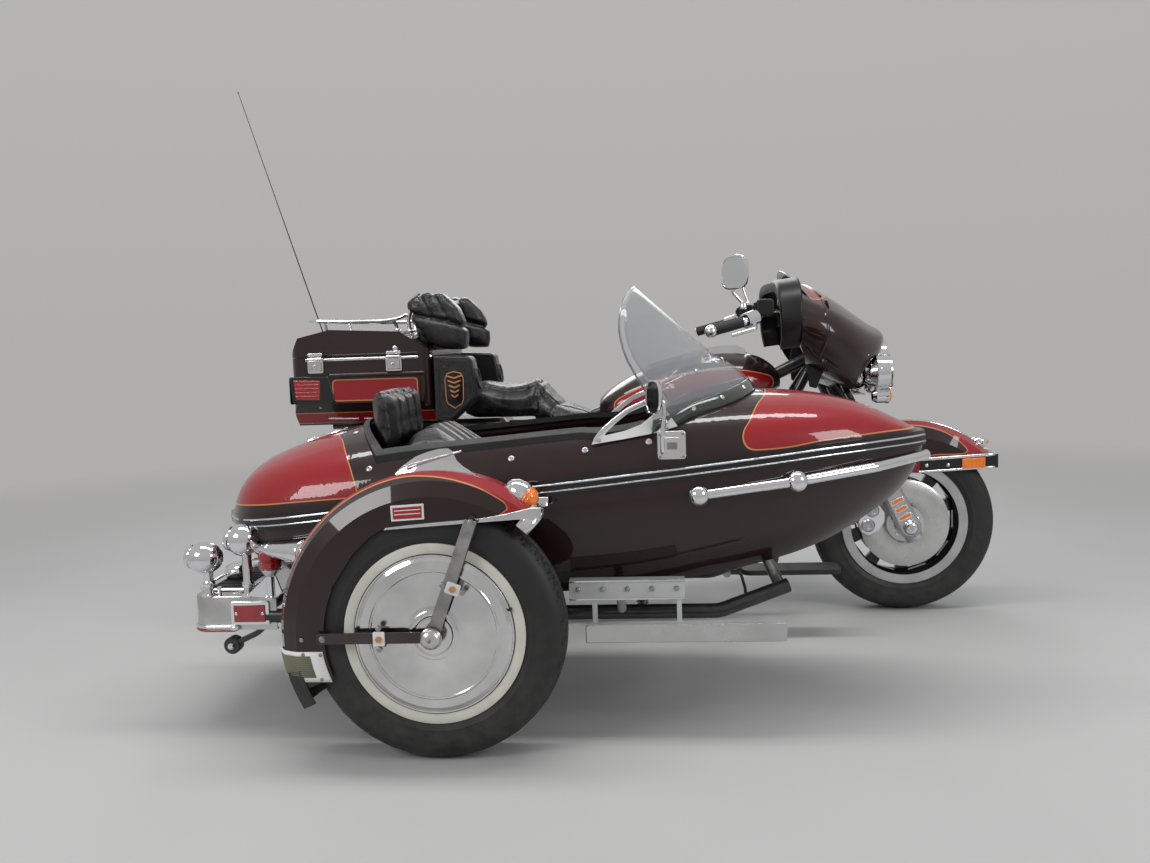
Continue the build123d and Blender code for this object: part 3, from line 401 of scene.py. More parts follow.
# Dust: lies in speckles on low places, less the higher they are
dust_group, source, sink = group(
    "Dust", [("Amount", "NodeSocketFloat", 0.3), ("Reach up", "NodeSocketFloat", 0.6)],
    [("Dust", "NodeSocketFloat")])
spot = add(dust_group, "ShaderNodeTexCoord")
split = add(dust_group, "ShaderNodeSeparateXYZ")
dust_group.links.new(spot.outputs["Object"], split.inputs[0])
noise = add(dust_group, "ShaderNodeTexNoise", Scale=22.0, Detail=6.0, Roughness=0.65)
dust_group.links.new(spot.outputs["Object"], noise.inputs["Vector"])
height = maths(dust_group, "DIVIDE", split.outputs["Z"], source.outputs["Reach up"])
low = maths(dust_group, "SUBTRACT", 1.0, height)
low = maths(dust_group, "MAXIMUM", low, 0.0)
speckle = ranged(dust_group, noise.outputs["Fac"], 0.38, 0.72)
dusty = maths(dust_group, "MULTIPLY", maths(dust_group, "MULTIPLY", low, speckle), source.outputs["Amount"])
dust_group.links.new(dusty, sink.inputs["Dust"])

# Leather: pebbled grain with fine creases
leather_group, source, sink = group("Leather grain", [("Scale", "NodeSocketFloat", 320.0)],
                                    [("Height", "NodeSocketFloat"), ("Crease", "NodeSocketFloat")])
spot = add(leather_group, "ShaderNodeTexCoord")
cells = add(leather_group, "ShaderNodeTexVoronoi", feature="DISTANCE_TO_EDGE")
leather_group.links.new(spot.outputs["Object"], cells.inputs["Vector"])
leather_group.links.new(source.outputs["Scale"], cells.inputs["Scale"])
crease = add(leather_group, "ShaderNodeTexNoise", Scale=38.0, Detail=5.0, Roughness=0.7)
leather_group.links.new(spot.outputs["Object"], crease.inputs["Vector"])
pebble = ranged(leather_group, cells.outputs["Distance"], 0.0, 0.12)
leather_group.links.new(maths(leather_group, "ADD", pebble,
                              maths(leather_group, "MULTIPLY", crease.outputs["Fac"], 1.6)),
                        sink.inputs["Height"])
leather_group.links.new(ranged(leather_group, crease.outputs["Fac"], 0.35, 0.7), sink.inputs["Crease"])

# Panel edge: which side of a painted line a place is on, and whether the line itself is there
edge_group, source, sink = group(
    "Panel edge", [("Distance", "NodeSocketFloat", 0.0), ("Line width", "NodeSocketFloat", 0.0032)],
    [("Inside", "NodeSocketFloat"), ("Line", "NodeSocketFloat")])
edge_group.links.new(ranged(edge_group, source.outputs["Distance"], -0.0002, 0.0002), sink.inputs["Inside"])
away = maths(edge_group, "ABSOLUTE", source.outputs["Distance"])
share = maths(edge_group, "DIVIDE", away, source.outputs["Line width"])
edge_group.links.new(ranged(edge_group, share, 0.42, 0.58, 1.0, 0.0), sink.inputs["Line"])

# Layout place: where a spot on the surface is, in the layout, in metres
place_group, source, sink = group("Layout place", [],
                                  [("Ahead", "NodeSocketFloat"), ("Left", "NodeSocketFloat"),
                                   ("Up", "NodeSocketFloat")])
spot = add(place_group, "ShaderNodeTexCoord")
split = add(place_group, "ShaderNodeSeparateXYZ")
place_group.links.new(spot.outputs["Object"], split.inputs[0])
place_group.links.new(maths(place_group, "SUBTRACT", split.outputs["X"], shift_x), sink.inputs["Ahead"])
place_group.links.new(maths(place_group, "SUBTRACT", split.outputs["Y"], shift_y), sink.inputs["Left"])
place_group.links.new(split.outputs["Z"], sink.inputs["Up"])


def use(tree, shared, **values):
    """A shared group placed in a material with its own values."""
    node = tree.nodes.new("ShaderNodeGroup")
    node.node_tree = shared
    for key, value in values.items():
        socket = node.inputs[key.replace("_", " ")]
        if isinstance(value, (int, float)):
            socket.default_value = value
        else:
            tree.links.new(value, socket)
    return node


def finish(name, colour, rough, metal=0.0, soft=6.0, fine=300.0, shade=0.15, gloss_play=0.06, bump=0.0,
           coat=0.0, coat_rough=0.05, dust=0.0, dust_up=0.6, alpha=1.0, specular=0.5, transmission=0.0,
           ior=1.5):
    """A finish with uneven colour and gloss, an optional bump, clear coat and dust."""
    material = bpy.data.materials.new(name)
    material.use_nodes = True
    tree = material.node_tree
    shader = tree.nodes["Principled BSDF"]
    mottle = use(tree, mottle_group, Soft_scale=soft, Fine_scale=fine)
    darker = tuple(c * (1 - shade) for c in colour)
    lighter = tuple(min(1.0, c * (1 + shade)) for c in colour)
    tint = mixed(tree, ranged(tree, mottle.outputs["Soft"], 0.3, 0.7), darker, lighter)
    roughness = ranged(tree, mottle.outputs["Soft"], 0.3, 0.7, max(0.02, rough - gloss_play),
                       rough + gloss_play)
    if dust:
        cover = use(tree, dust_group, Amount=dust, Reach_up=dust_up).outputs["Dust"]
        tint = mixed(tree, cover, tint, (0.30, 0.27, 0.24))
        roughness = maths(tree, "MAXIMUM", roughness, maths(tree, "MULTIPLY", cover, 0.9))
    tree.links.new(tint, shader.inputs["Base Color"])
    tree.links.new(roughness, shader.inputs["Roughness"])
    for socket, value in (("Metallic", metal), ("Coat Weight", coat), ("Coat Roughness", coat_rough),
                          ("Specular IOR Level", specular), ("Transmission Weight", transmission),
                          ("IOR", ior), ("Alpha", alpha)):
        shader.inputs[socket].default_value = value
    if bump:
        relief = add(tree, "ShaderNodeBump", Strength=1.0, Distance=bump / 1000)
        tree.links.new(mottle.outputs["Fine"], relief.inputs["Height"])
        tree.links.new(relief.outputs["Normal"], shader.inputs["Normal"])
    return material


def leather(name, colour, rough=0.42, scale=320.0, depth=0.5):
    """Black or brown leather or vinyl with a pebbled grain and creases."""
    material = finish(name, colour, rough, shade=0.25, soft=9.0, gloss_play=0.08)
    tree = material.node_tree
    shader = tree.nodes["Principled BSDF"]
    grain = use(tree, leather_group, Scale=scale)
    relief = add(tree, "ShaderNodeBump", Strength=0.7, Distance=depth / 1000)
    tree.links.new(grain.outputs["Height"], relief.inputs["Height"])
    tree.links.new(relief.outputs["Normal"], shader.inputs["Normal"])
    return material


dark_colour = (0.019, 0.0065, 0.0068)
red_colour = (0.26, 0.006, 0.011)
gold_colour = (0.52, 0.20, 0.07)


def paint(name, panel=None, line_width=0.0034):
    """Dark clear-coated paint, with red panels edged in gold where `panel` gives a distance inside them."""
    material = finish(name, dark_colour, 0.35, soft=4.0, shade=0.12, gloss_play=0.04, coat=0.85,
                      coat_rough=0.03, dust=0.04, dust_up=0.5, specular=0.12)
    if panel is None:
        return material
    tree = material.node_tree
    shader = tree.nodes["Principled BSDF"]
    here = use(tree, place_group)
    distance = panel(tree, here.outputs["Ahead"], here.outputs["Left"], here.outputs["Up"])
    edge = use(tree, edge_group, Distance=distance, Line_width=line_width)
    mottle = use(tree, mottle_group, Soft_scale=5.0, Fine_scale=900.0)
    red = mixed(tree, ranged(tree, mottle.outputs["Fine"], 0.35, 0.7), tuple(c * 0.85 for c in red_colour),
                tuple(c * 1.15 for c in red_colour))
    dark = shader.inputs["Base Color"].links[0].from_socket
    two_tone = mixed(tree, edge.outputs["Inside"], dark, red)
    tree.links.new(mixed(tree, edge.outputs["Line"], two_tone, gold_colour), shader.inputs["Base Color"])
    return material


chrome = finish("chrome plate", (0.80, 0.80, 0.82), 0.07, metal=1.0, soft=12.0, shade=0.05, gloss_play=0.03,
                dust=0.12, dust_up=0.5)
polished = finish("polished disc", (0.70, 0.70, 0.70), 0.13, metal=1.0, soft=7.0, fine=60.0, shade=0.16,
                  gloss_play=0.08, bump=0.05, dust=0.12, dust_up=0.6)
satin_alloy = finish("satin alloy", (0.52, 0.52, 0.53), 0.36, metal=1.0, soft=14.0, shade=0.12,
                     gloss_play=0.08, bump=0.02, dust=0.15, dust_up=0.6)
cast_alloy = finish("cast alloy", (0.40, 0.40, 0.41), 0.48, metal=1.0, soft=20.0, fine=700.0, bump=0.05,
                    dust=0.4, dust_up=0.6)
bar_grey = finish("grey bar paint", (0.46, 0.47, 0.46), 0.34, soft=10.0, shade=0.10, bump=0.01, dust=0.12)
brown_strap = finish("brown painted strap", (0.022, 0.011, 0.011), 0.38, soft=12.0, shade=0.25, coat=0.4,
                     dust=0.10)
frame_black = finish("frame black", (0.009, 0.009, 0.010), 0.36, soft=10.0, shade=0.2, coat=0.4, dust=0.15,
                     dust_up=0.6)
gloss_black = finish("gloss black", (0.007, 0.007, 0.008), 0.25, soft=8.0, shade=0.2, coat=0.7, dust=0.05,
                     specular=0.2)
plastic_black = finish("moulded black plastic", (0.010, 0.010, 0.011), 0.40, fine=500.0, bump=0.03, dust=0.06,
                       specular=0.35)
rubber = finish("black rubber", (0.012, 0.012, 0.012), 0.62, fine=450.0, shade=0.25, bump=0.06, dust=0.12,
                dust_up=0.5)
tyre_rubber = finish("tyre rubber", (0.011, 0.011, 0.011), 0.55, fine=350.0, shade=0.3, bump=0.05, dust=0.10,
                     dust_up=0.5)
ring_white = finish("off-white rim paint", (0.60, 0.58, 0.50), 0.40, soft=16.0, shade=0.10, dust=0.15,
                    dust_up=0.7)
black_leather = leather("black leather", (0.0068, 0.0068, 0.0072), rough=0.27, depth=0.25)
rim_leather = leather("padded rim vinyl", (0.009, 0.009, 0.009), rough=0.40, scale=420.0, depth=0.25)
red_lens = finish("red lens", (0.30, 0.006, 0.008), 0.12, soft=30.0, shade=0.2, coat=1.0)
amber_lens = finish("amber lens", (0.85, 0.20, 0.012), 0.14, soft=30.0, shade=0.15, coat=1.0)
clear_lens = finish("clear lens", (0.85, 0.86, 0.86), 0.08, transmission=1.0, ior=1.45, shade=0.03)
mirror_glass = finish("mirror glass", (0.75, 0.77, 0.78), 0.03, metal=1.0, shade=0.02, gloss_play=0.01)
smoked = finish("smoked screen", (0.36, 0.37, 0.39), 0.08, soft=3.0, shade=0.06, gloss_play=0.02, alpha=0.30,
                coat=1.0)
screen_band = finish("tinted screen band", (0.055, 0.062, 0.054), 0.12, shade=0.08, alpha=0.92, coat=1.0)
gold_trim = finish("gold line paint", gold_colour, 0.3, coat=0.6)
dark_paint = paint("dark body paint")
white_paint = finish("white painted edge", (0.72, 0.72, 0.70), 0.35, dust=0.2)
olive_rubber = finish("olive ribbed rubber", (0.16, 0.16, 0.10), 0.7, bump=0.05, dust=0.3)
steel = finish("bare steel", (0.36, 0.35, 0.34), 0.42, metal=1.0, soft=25.0, shade=0.25, bump=0.02, dust=0.4)
lamp_silver = finish("lamp reflector", (0.78, 0.78, 0.76), 0.16, metal=1.0, soft=30.0, shade=0.08,
                     gloss_play=0.05)
dial_face = finish("dial face", (0.62, 0.61, 0.56), 0.45, soft=30.0, shade=0.04)
honed = finish("honed alloy", (0.60, 0.60, 0.60), 0.27, metal=1.0, soft=9.0, fine=90.0, shade=0.10,
               gloss_play=0.07, bump=0.02, dust=0.15, dust_up=0.7)


# Stage, lamps and camera

def seen(tree):
    """One for a ray from the camera, a mirror or a glass, and nought for the others."""
    rays = add(tree, "ShaderNodeLightPath")
    direct = maths(tree, "MAXIMUM", rays.outputs["Is Camera Ray"], rays.outputs["Is Glossy Ray"])
    return maths(tree, "MAXIMUM", direct, rays.outputs["Is Transmission Ray"])


horizon = (0.43, 0.425, 0.415)
floor_paint = finish("pale studio floor", (0.44, 0.435, 0.425), 0.7, soft=0.9, fine=40.0, shade=0.03,
                     bump=0.05, specular=0.3)
tree = floor_paint.node_tree
shown = seen(tree)
spot = add(tree, "ShaderNodeTexCoord")
away = add(tree, "ShaderNodeVectorMath", operation="LENGTH")
tree.links.new(spot.outputs["Object"], away.inputs[0])
far_off = maths(tree, "MULTIPLY", ranged(tree, away.outputs["Value"], 2.2, 6.5), shown)
distance_glow = add(tree, "ShaderNodeEmission", Color=(*horizon, 1), Strength=1.0)
blend = add(tree, "ShaderNodeMixShader")
tree.links.new(far_off, blend.inputs[0])
tree.links.new(tree.nodes["Principled BSDF"].outputs[0], blend.inputs[1])
tree.links.new(distance_glow.outputs[0], blend.inputs[2])
tree.links.new(blend.outputs[0], tree.nodes["Material Output"].inputs["Surface"])
mesh = bpy.data.meshes.new("floor")
mesh.from_pydata([(-30, -30, 0), (30, -30, 0), (30, 30, 0), (-30, 30, 0)], [], [(0, 1, 2, 3)])
mesh.materials.append(floor_paint)
ground = bpy.data.objects.new("floor", mesh)
bpy.context.scene.collection.objects.link(ground)

world = bpy.data.worlds.new("studio")
bpy.context.scene.world = world
world.use_nodes = True
tree = world.node_tree
for node in list(tree.nodes):
    tree.nodes.remove(node)
spot = add(tree, "ShaderNodeTexCoord")
split = add(tree, "ShaderNodeSeparateXYZ")
tree.links.new(spot.outputs["Generated"], split.inputs[0])
wall = mixed(tree, ranged(tree, split.outputs["Z"], 0.0, 0.55), horizon, (0.50, 0.495, 0.485))
shown = seen(tree)
fill = add(tree, "ShaderNodeBackground", Strength=0.55)
fill.inputs["Color"].default_value = (0.92, 0.95, 1.0, 1)
backdrop = add(tree, "ShaderNodeBackground", Strength=1.0)
tree.links.new(wall, backdrop.inputs["Color"])
blend = add(tree, "ShaderNodeMixShader")
tree.links.new(shown, blend.inputs[0])
tree.links.new(fill.outputs[0], blend.inputs[1])
tree.links.new(backdrop.outputs[0], blend.inputs[2])
sky = add(tree, "ShaderNodeOutputWorld")
tree.links.new(blend.outputs[0], sky.inputs["Surface"])


def lamp(name, place, aim, width, height, power):
    """A soft rectangular lamp at a place, turned to another."""
    light = bpy.data.lights.new(name, "AREA")
    light.shape = "RECTANGLE"
    light.size, light.size_y = width / 1000, height / 1000
    light.energy = power
    obj = bpy.data.objects.new(name, light)
    obj.location = at(*place)
    obj.rotation_euler = (at(*aim) - at(*place)).to_track_quat("-Z", "Y").to_euler()
    bpy.context.scene.collection.objects.link(obj)


lamp("overhead tubes", (500, -900, 3600), (500, -700, 0), 4200, 500, 82)
lamp("front left softbox", (-2300, -3600, 2500), (300, -700, 500), 1500, 1200, 48)
lamp("front right softbox", (3900, -3000, 2300), (800, -500, 600), 1300, 1300, 40)
lamp("back softbox", (300, 3400, 2600), (400, 0, 600), 3200, 1400, 48)

focal_pixels, photo_pixels, sensor_width = 1049.1, 1150, 36.0
camera = bpy.data.cameras.new("photo view")
camera.sensor_width = sensor_width
camera.lens = focal_pixels / photo_pixels * sensor_width
viewer = bpy.data.objects.new("photo view", camera)
yaw, pitch, roll = math.radians(4.82), math.radians(5.31), math.radians(1.93)
level = Vector((math.cos(yaw), math.sin(yaw), 0))
ahead = Vector((-math.sin(yaw), math.cos(yaw), 0))
drop = Vector(DOWN)
sight = ahead * math.cos(pitch) + drop * math.sin(pitch)
down = drop * math.cos(pitch) - ahead * math.sin(pitch)
right = level * math.cos(roll) + down * math.sin(roll)
down = down * math.cos(roll) - level * math.sin(roll)
turned_view = Matrix((right, -down, -sight)).transposed().to_4x4()
viewer.matrix_world = Matrix.Translation(at(767, -3756, 1006)) @ turned_view
bpy.context.scene.collection.objects.link(viewer)
bpy.context.scene.camera = viewer
bpy.context.scene.view_settings.view_transform = "Standard"


# Painted panels. Each gives how far inside the red a place is, in metres.

def mm(points):
    """Points in millimetres, in metres."""
    return [(a / 1000, b / 1000) for a, b in points]


def less(tree, first, second):
    """One value less another."""
    return maths(tree, "SUBTRACT", first, second)


def plus(tree, first, second):
    """The sum of two values."""
    return maths(tree, "ADD", first, second)


def soft_least(tree, first, second, blur):
    """The lesser of two distances, rounded where they meet."""
    return maths(tree, "SMOOTH_MIN", first, second, blur)


def from_line(tree, ahead, up, x, z):
    """How far a place is from a level line across the machine at x, z, in metres."""
    along, above = less(tree, ahead, x / 1000), less(tree, up, z / 1000)
    return maths(tree, "SQRT", plus(tree, maths(tree, "MULTIPLY", along, along),
                                    maths(tree, "MULTIPLY", above, above)))


def tub_panels(tree, ahead, left, up):
    """The sidecar's red hood panel and red tail."""
    rear_edge = follow(tree, up, mm([(690, 975), (713, 968), (739, 965), (776, 985), (810, 1008), (840, 1041),
                                     (880, 1062)]))
    low_edge = follow(tree, ahead, mm([(940, 703), (998, 704), (1056, 706), (1158, 718), (1265, 726),
                                       (1380, 730), (1460, 728)]))
    hood = soft_least(tree, less(tree, ahead, rear_edge), less(tree, up, low_edge), 0.045)
    seam = follow(tree, up, mm([(570, 8), (605, -4), (643, -16), (667, -26), (691, -38), (725, -61),
                                (745, -83), (756, -109), (775, -128)]))
    low_tail = follow(tree, ahead, mm([(-460, 553), (-440, 562), (-400, 576), (-344, 584), (-274, 591),
                                       (-162, 602), (20, 614)]))
    tail = soft_least(tree, less(tree, seam, ahead), less(tree, up, low_tail), 0.02)
    return maths(tree, "MAXIMUM", hood, tail)


def sidecar_fender_panel(tree, ahead, left, up):
    """The sidecar fender's red crown: thin at the back, wider ahead, where the dark field ends in a point."""
    away = from_line(tree, ahead, up, sidecar_x, tyre_radius)
    edge = follow(tree, ahead, mm([(-178, 378), (-140, 378), (60, 378.5), (152, 378), (199, 375), (245, 372),
                                   (290, 369), (334, 366), (371, 362), (396, 359), (403, 353), (440, 345)]))
    faded = follow(tree, up, mm([(430, 14), (510, 0), (800, 0)]))
    point = follow(tree, up, mm([(560, 330), (584, 349), (593, 375), (603, 396), (612, 404), (640, 404),
                                 (700, 404)]))
    dark = soft_least(tree, less(tree, plus(tree, edge, faded), away), less(tree, point, ahead), 0.006)
    return maths(tree, "MULTIPLY", dark, -1.0)


def front_fender_panel(tree, ahead, left, up):
    """The front fender's red: a line along its back, and the nose ahead of the dark field's point."""
    away = from_line(tree, ahead, up, wheelbase + 20, tyre_radius - 22)
    edge = follow(tree, ahead, mm([(1240, 364), (1400, 364), (1640, 362), (1700, 359), (1767, 350),
                                   (1799, 338), (1850, 320)]))
    point = follow(tree, up, mm([(497, 1700), (540, 1760), (556, 1800), (566, 1808), (590, 1806), (640, 1790),
                                 (700, 1780)]))
    dark = soft_least(tree, less(tree, edge, away), less(tree, point, ahead), 0.012)
    low = follow(tree, ahead, mm([(1240, 300), (1560, 420), (1620, 520), (1680, 548), (1780, 552),
                                  (1850, 560)]))
    dark = soft_least(tree, dark, less(tree, up, low), 0.01)
    return soft_least(tree, maths(tree, "MULTIPLY", dark, -1.0), less(tree, up, 0.40), 0.004)


def case_panels(tree, ahead, left, up):
    """The red panels on the top case: one on each side and one low at the back."""
    aside = maths(tree, "ABSOLUTE", left)
    upright = soft_least(tree, less(tree, up, 0.808), less(tree, 0.878, up), 0.01)
    lengthwise = soft_least(tree, plus(tree, ahead, 0.338), less(tree, -0.048, ahead), 0.012)
    sides = soft_least(tree, soft_least(tree, upright, lengthwise, 0.02), less(tree, aside, 0.27), 0.002)
    low = soft_least(tree, less(tree, 0.766, up), less(tree, up, 0.729), 0.008)
    low = soft_least(tree, low, less(tree, aside, 0.12), 0.01)
    return maths(tree, "MAXIMUM", sides, low)


def tank_panel(tree, ahead, left, up):
    """A red field on each side of the fuel tank."""
    top = follow(tree, ahead, mm([(560, 735), (640, 790), (800, 846), (980, 868), (1110, 850), (1176, 815)]))
    low = follow(tree, ahead, mm([(560, 722), (640, 728), (800, 738), (980, 765), (1110, 790), (1176, 808)]))
    field = soft_least(tree, less(tree, top, up), less(tree, up, low), 0.03)
    lengthwise = soft_least(tree, less(tree, ahead, 0.60), less(tree, 1.15, ahead), 0.03)
    return soft_least(tree, field, lengthwise, 0.03)


def fairing_panel(tree, ahead, left, up):
    """The red brow over the top of the fairing."""
    aside = maths(tree, "ABSOLUTE", left)
    brow = follow(tree, aside, mm([(0, 1092), (120, 1092), (200, 1090), (260, 1090), (320, 1100),
                                   (372, 1130)]))
    back = follow(tree, aside, mm([(0, 1218), (200, 1232), (260, 1246), (372, 1262)]))
    forward = follow(tree, ahead, mm([(1215, 0), (1290, 2), (1330, 22), (1370, 60), (1400, 95), (1440, 140)]))
    line = plus(tree, brow, forward)
    return soft_least(tree, less(tree, up, line), less(tree, ahead, back), 0.012)


def bag_panel(tree, ahead, left, up):
    """A red field on each saddlebag's side."""
    upright = soft_least(tree, less(tree, up, 0.395), less(tree, 0.598, up), 0.02)
    lengthwise = soft_least(tree, plus(tree, ahead, 0.335), less(tree, 0.125, ahead), 0.02)
    return soft_least(tree, upright, lengthwise, 0.05)


tub_paint = paint("sidecar body paint", tub_panels)
side_fender_paint = paint("sidecar fender paint", sidecar_fender_panel, 0.0026)
front_fender_paint = paint("front fender paint", front_fender_panel)
rear_fender_paint = paint("rear fender paint")
case_paint = paint("top case paint", case_panels)
tank_paint = paint("tank paint", tank_panel)
fairing_paint = paint("fairing paint", fairing_panel)
bag_paint = paint("saddlebag paint", bag_panel)

finishes = {"sidecar_tub": tub_paint, "sidecar_fender": side_fender_paint, "front_fender": front_fender_paint,
            "rear_fender": rear_fender_paint, "top_case_base": case_paint, "top_case_lid": dark_paint,
            "fuel_tank": tank_paint, "fairing": fairing_paint, "saddlebags": bag_paint,
            "saddlebag_lid_left": dark_paint, "saddlebag_lid_right": dark_paint, "side_covers": dark_paint,
            "front_tyre": tyre_rubber, "rear_tyre": tyre_rubber, "sidecar_tyre": tyre_rubber,
            "front_rim": gloss_black, "rear_rim": gloss_black, "sidecar_rim": ring_white,
            "front_wheel_covers": honed, "sidecar_wheel_cover": polished, "fork": satin_alloy,
            "handlebar": chrome, "grips": rubber, "mirrors": chrome, "dash": plastic_black,
            "front_lamps": chrome, "frame": frame_black, "engine_cylinders": cast_alloy,
            "engine_cases": cast_alloy, "engine_covers": chrome, "exhaust": chrome, "swing_arm": frame_black,
            "tank_console": chrome, "seat": black_leather, "pillion_backrest": black_leather,
            "speaker_pods": black_leather, "lid_rack": chrome, "antenna": gloss_black,
            "top_case_lights": red_lens, "foot_boards": rubber, "engine_guards": chrome,
            "cockpit_rim": rim_leather, "tub_belt": gloss_black, "sidecar_seat": black_leather,
            "windshield": smoked, "windshield_base": screen_band, "fender_flap": rubber,
            "sidecar_frame": frame_black, "sidecar_step": bar_grey, "nose_bar": chrome,
            "rear_bumper": satin_alloy, "rear_lamps": chrome, "sidecar_mirror": chrome,
            "front_fender_rail": gloss_black, "fender_struts": brown_strap}
for name, node_finish in finishes.items():
    node_mesh = nodes[name].data
    node_mesh.materials.clear()
    node_mesh.materials.append(node_finish)
    for polygon in node_mesh.polygons:
        polygon.use_smooth = True
        polygon.material_index = 0
    node_mesh.set_sharp_from_angle(angle=math.radians(32))


# Tyres

def tyre(name, node, centre, body):
    """A treaded tyre: two sidewalls with rings and ribs, and a crown cut by slanted grooves."""
    outer, bead = tyre_radius, 207.0
    profile = [(-44, bead), (-52, bead + 3), (-56, bead + 9), (-61, bead + 24), (-62.5, bead + 27),
               (-62, bead + 30), (-65, bead + 45), (-65.5, bead + 58), (-64.5, bead + 62), (-64.8, bead + 65),
               (-62, bead + 76), (-57, bead + 87), (-51, outer - 12), (-45, outer - 7.5), (-38, outer - 4.6),
               (-30, outer - 2.6), (-22, outer - 1.3), (-14, outer - 0.5), (-7, outer - 0.1), (0, outer)]
    profile += [(-a, r) for a, r in reversed(profile[:-1])]
    steps = 288
    points, faces = [], []
    for i in range(steps):
        turn = 2 * math.pi * i / steps
        for a, r in profile:
            cut = 0.0
            if abs(a) < 52:
                wave = (i / 8.0 + abs(a) / 26.0) % 1.0
                slanted = wave < 0.2 and 9 < abs(a) < 50
                middle = 5 < abs(a) < 9
                cut = 5.5 if slanted else (5.0 if middle else 0.0)
            elif r > outer - 26 and (i // 3) % 2 == 0:
                cut = 0.8
            r -= cut
            points.append((centre[0] + r * math.cos(turn), centre[1] + a, centre[2] + r * math.sin(turn)))
    count = len(profile)
    for i in range(steps):
        j = (i + 1) % steps
        for k in range(count - 1):
            faces.append((i * count + k, i * count + k + 1, j * count + k + 1, j * count + k))
        faces.append((i * count + count - 1, i * count, j * count, j * count + count - 1))
    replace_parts(piece(name, points, faces, body, tyre_rubber, sharp=28), node)


front_centre = (wheelbase, 0, tyre_radius)
rear_centre = (0, 0, tyre_radius)
side_centre = (sidecar_x, sidecar_y, tyre_radius)
tyre("tyre_front", "front_tyre", front_centre, "front_wheel")
tyre("tyre_rear", "rear_tyre", rear_centre, "rear_wheel")
tyre("tyre_sidecar", "sidecar_tyre", side_centre, "sidecar_wheel")


def wheel_ring(name, centre, outline, body, finish):
    """A ring turned about a wheel's axle line; its outline is (along, radius)."""
    spun(name, outline + outline[:1], centre, LEFT, body, finish, steps=96)


for side, word in SIDES:
    lip = [(side * 57, 203), (side * 60.6, 204), (side * 61.4, 209), (side * 60.8, 215.5), (side * 56, 217.5),
           (side * 52, 214), (side * 52, 205)]
    band = [(side * 57.6, 184), (side * 59.8, 185), (side * 61.2, 203), (side * 61.2, 206), (side * 56, 206),
            (side * 54, 185)]
    for label, centre, body in (("front", front_centre, "front_wheel"), ("rear", rear_centre, "rear_wheel")):
        wheel_ring(f"{label}_rim_lip_{word}", centre, lip, body, satin_alloy)
        wheel_ring(f"{label}_rim_band_{word}", centre, band, body, satin_alloy)
sidecar_lip = [(-57, 193), (-59.5, 193), (-61.8, 200), (-62.4, 212), (-60.5, 217.5), (-56, 218), (-52, 214),
               (-52, 194)]
wheel_ring("sidecar_rim_ring", side_centre, sidecar_lip, "sidecar_wheel", ring_white)
# A gloss black ring fills the gap between the cover and the rim ring: painted shade of the gap
wheel_ring("sidecar_cover_gap_shade", side_centre, [(-59.8, 191.4), (-59.8, 193.4), (-52, 193.4), (-52, 191.4)],
           "sidecar_wheel", gloss_black)
cover_rim = [(-61, 186), (-63.5, 187.5), (-63.8, 190), (-62, 191.3), (-58, 191), (-58, 187)]
wheel_ring("sidecar_cover_edge", side_centre, cover_rim, "sidecar_wheel", polished)


# Sidecar body: belt lines and studs

def wrap_path(tree, level):
    """Places all round the sidecar's body where a level line meets a surface, with their normals."""
    starts, steps = [], 46
    tail, nose, far = -330.0, 1300.0, 700.0
    for i in range(steps):
        x = tail + (nose - tail) * i / (steps - 1)
        starts.append((x, -90))
    for i in range(1, 12):
        starts.append((nose, -90 + 180 * i / 12))
    for i in range(steps):
        x = nose + (tail - nose) * i / (steps - 1)
        starts.append((x, 90))
    for i in range(1, 12):
        starts.append((tail, 90 + 180 * i / 12))
    path, normals = [], []
    for x, degrees in starts:
        turn = math.radians(degrees)
        aim = Vector((math.cos(turn), math.sin(turn), 0))
        z = level(x)
        for _ in range(3):
            hit, normal = touch(tree, Vector((x, tub_y, z)) + aim * far, -aim)
            if hit is None:
                break
            z = level(hit.x)
        if hit is not None:
            path.append(hit)
            normals.append(normal)
    return path, normals


def between(x, points):
    """A height read off straight runs between points."""
    for (x0, z0), (x1, z1) in zip(points, points[1:]):
        if x <= x1:
            return z0 + (z1 - z0) * max(0.0, (x - x0) / (x1 - x0))
    return points[-1][1]


def half_round(name, path, normals, width, rise, body, finish, closed=False):
    """A half-round moulding along places on a surface."""
    points, faces = [], []
    count, sink = len(path), 0.6
    profile = [(-0.5, -sink), (-0.42, rise * 0.6), (-0.2, rise), (0.2, rise), (0.42, rise * 0.6),
               (0.5, -sink)]
    for i in range(count):
        if closed:
            ahead = path[(i + 1) % count] - path[i - 1]
        else:
            ahead = path[min(i + 1, count - 1)] - path[max(i - 1, 0)]
        normal = normals[i]
        across = ahead.cross(normal).normalized()
        points += [path[i] + across * a * width + normal * b for a, b in profile]
    n = len(profile)
    for i in range(count if closed else count - 1):
        j = (i + 1) % count
        for k in range(n):
            m = (k + 1) % n
            faces.append((i * n + k, i * n + m, j * n + m, j * n + k))
    if not closed:
        faces.append(tuple(range(n)))
        faces.append(tuple(range((count - 1) * n, count * n)))
    return piece(name, points, faces, body, finish, sharp=50)


tub_skin = surface_of(nodes["sidecar_tub"])
belt_skin = surface_of(nodes["tub_belt"])
belt_heights = [(-460, 525), (-254, 548), (-40, 572), (300, 609), (700, 648), (1000, 675), (1180, 691),
                (1320, 699), (1460, 703)]
for label, offset, wide in (("upper", 8.5, 5.5), ("lower", -8.5, 4.5)):
    path, normals = wrap_path(belt_skin, lambda x: between(x, belt_heights) + offset)
    half_round(f"belt_line_{label}", path, normals, wide, 2.2, "chassis", chrome, closed=True)

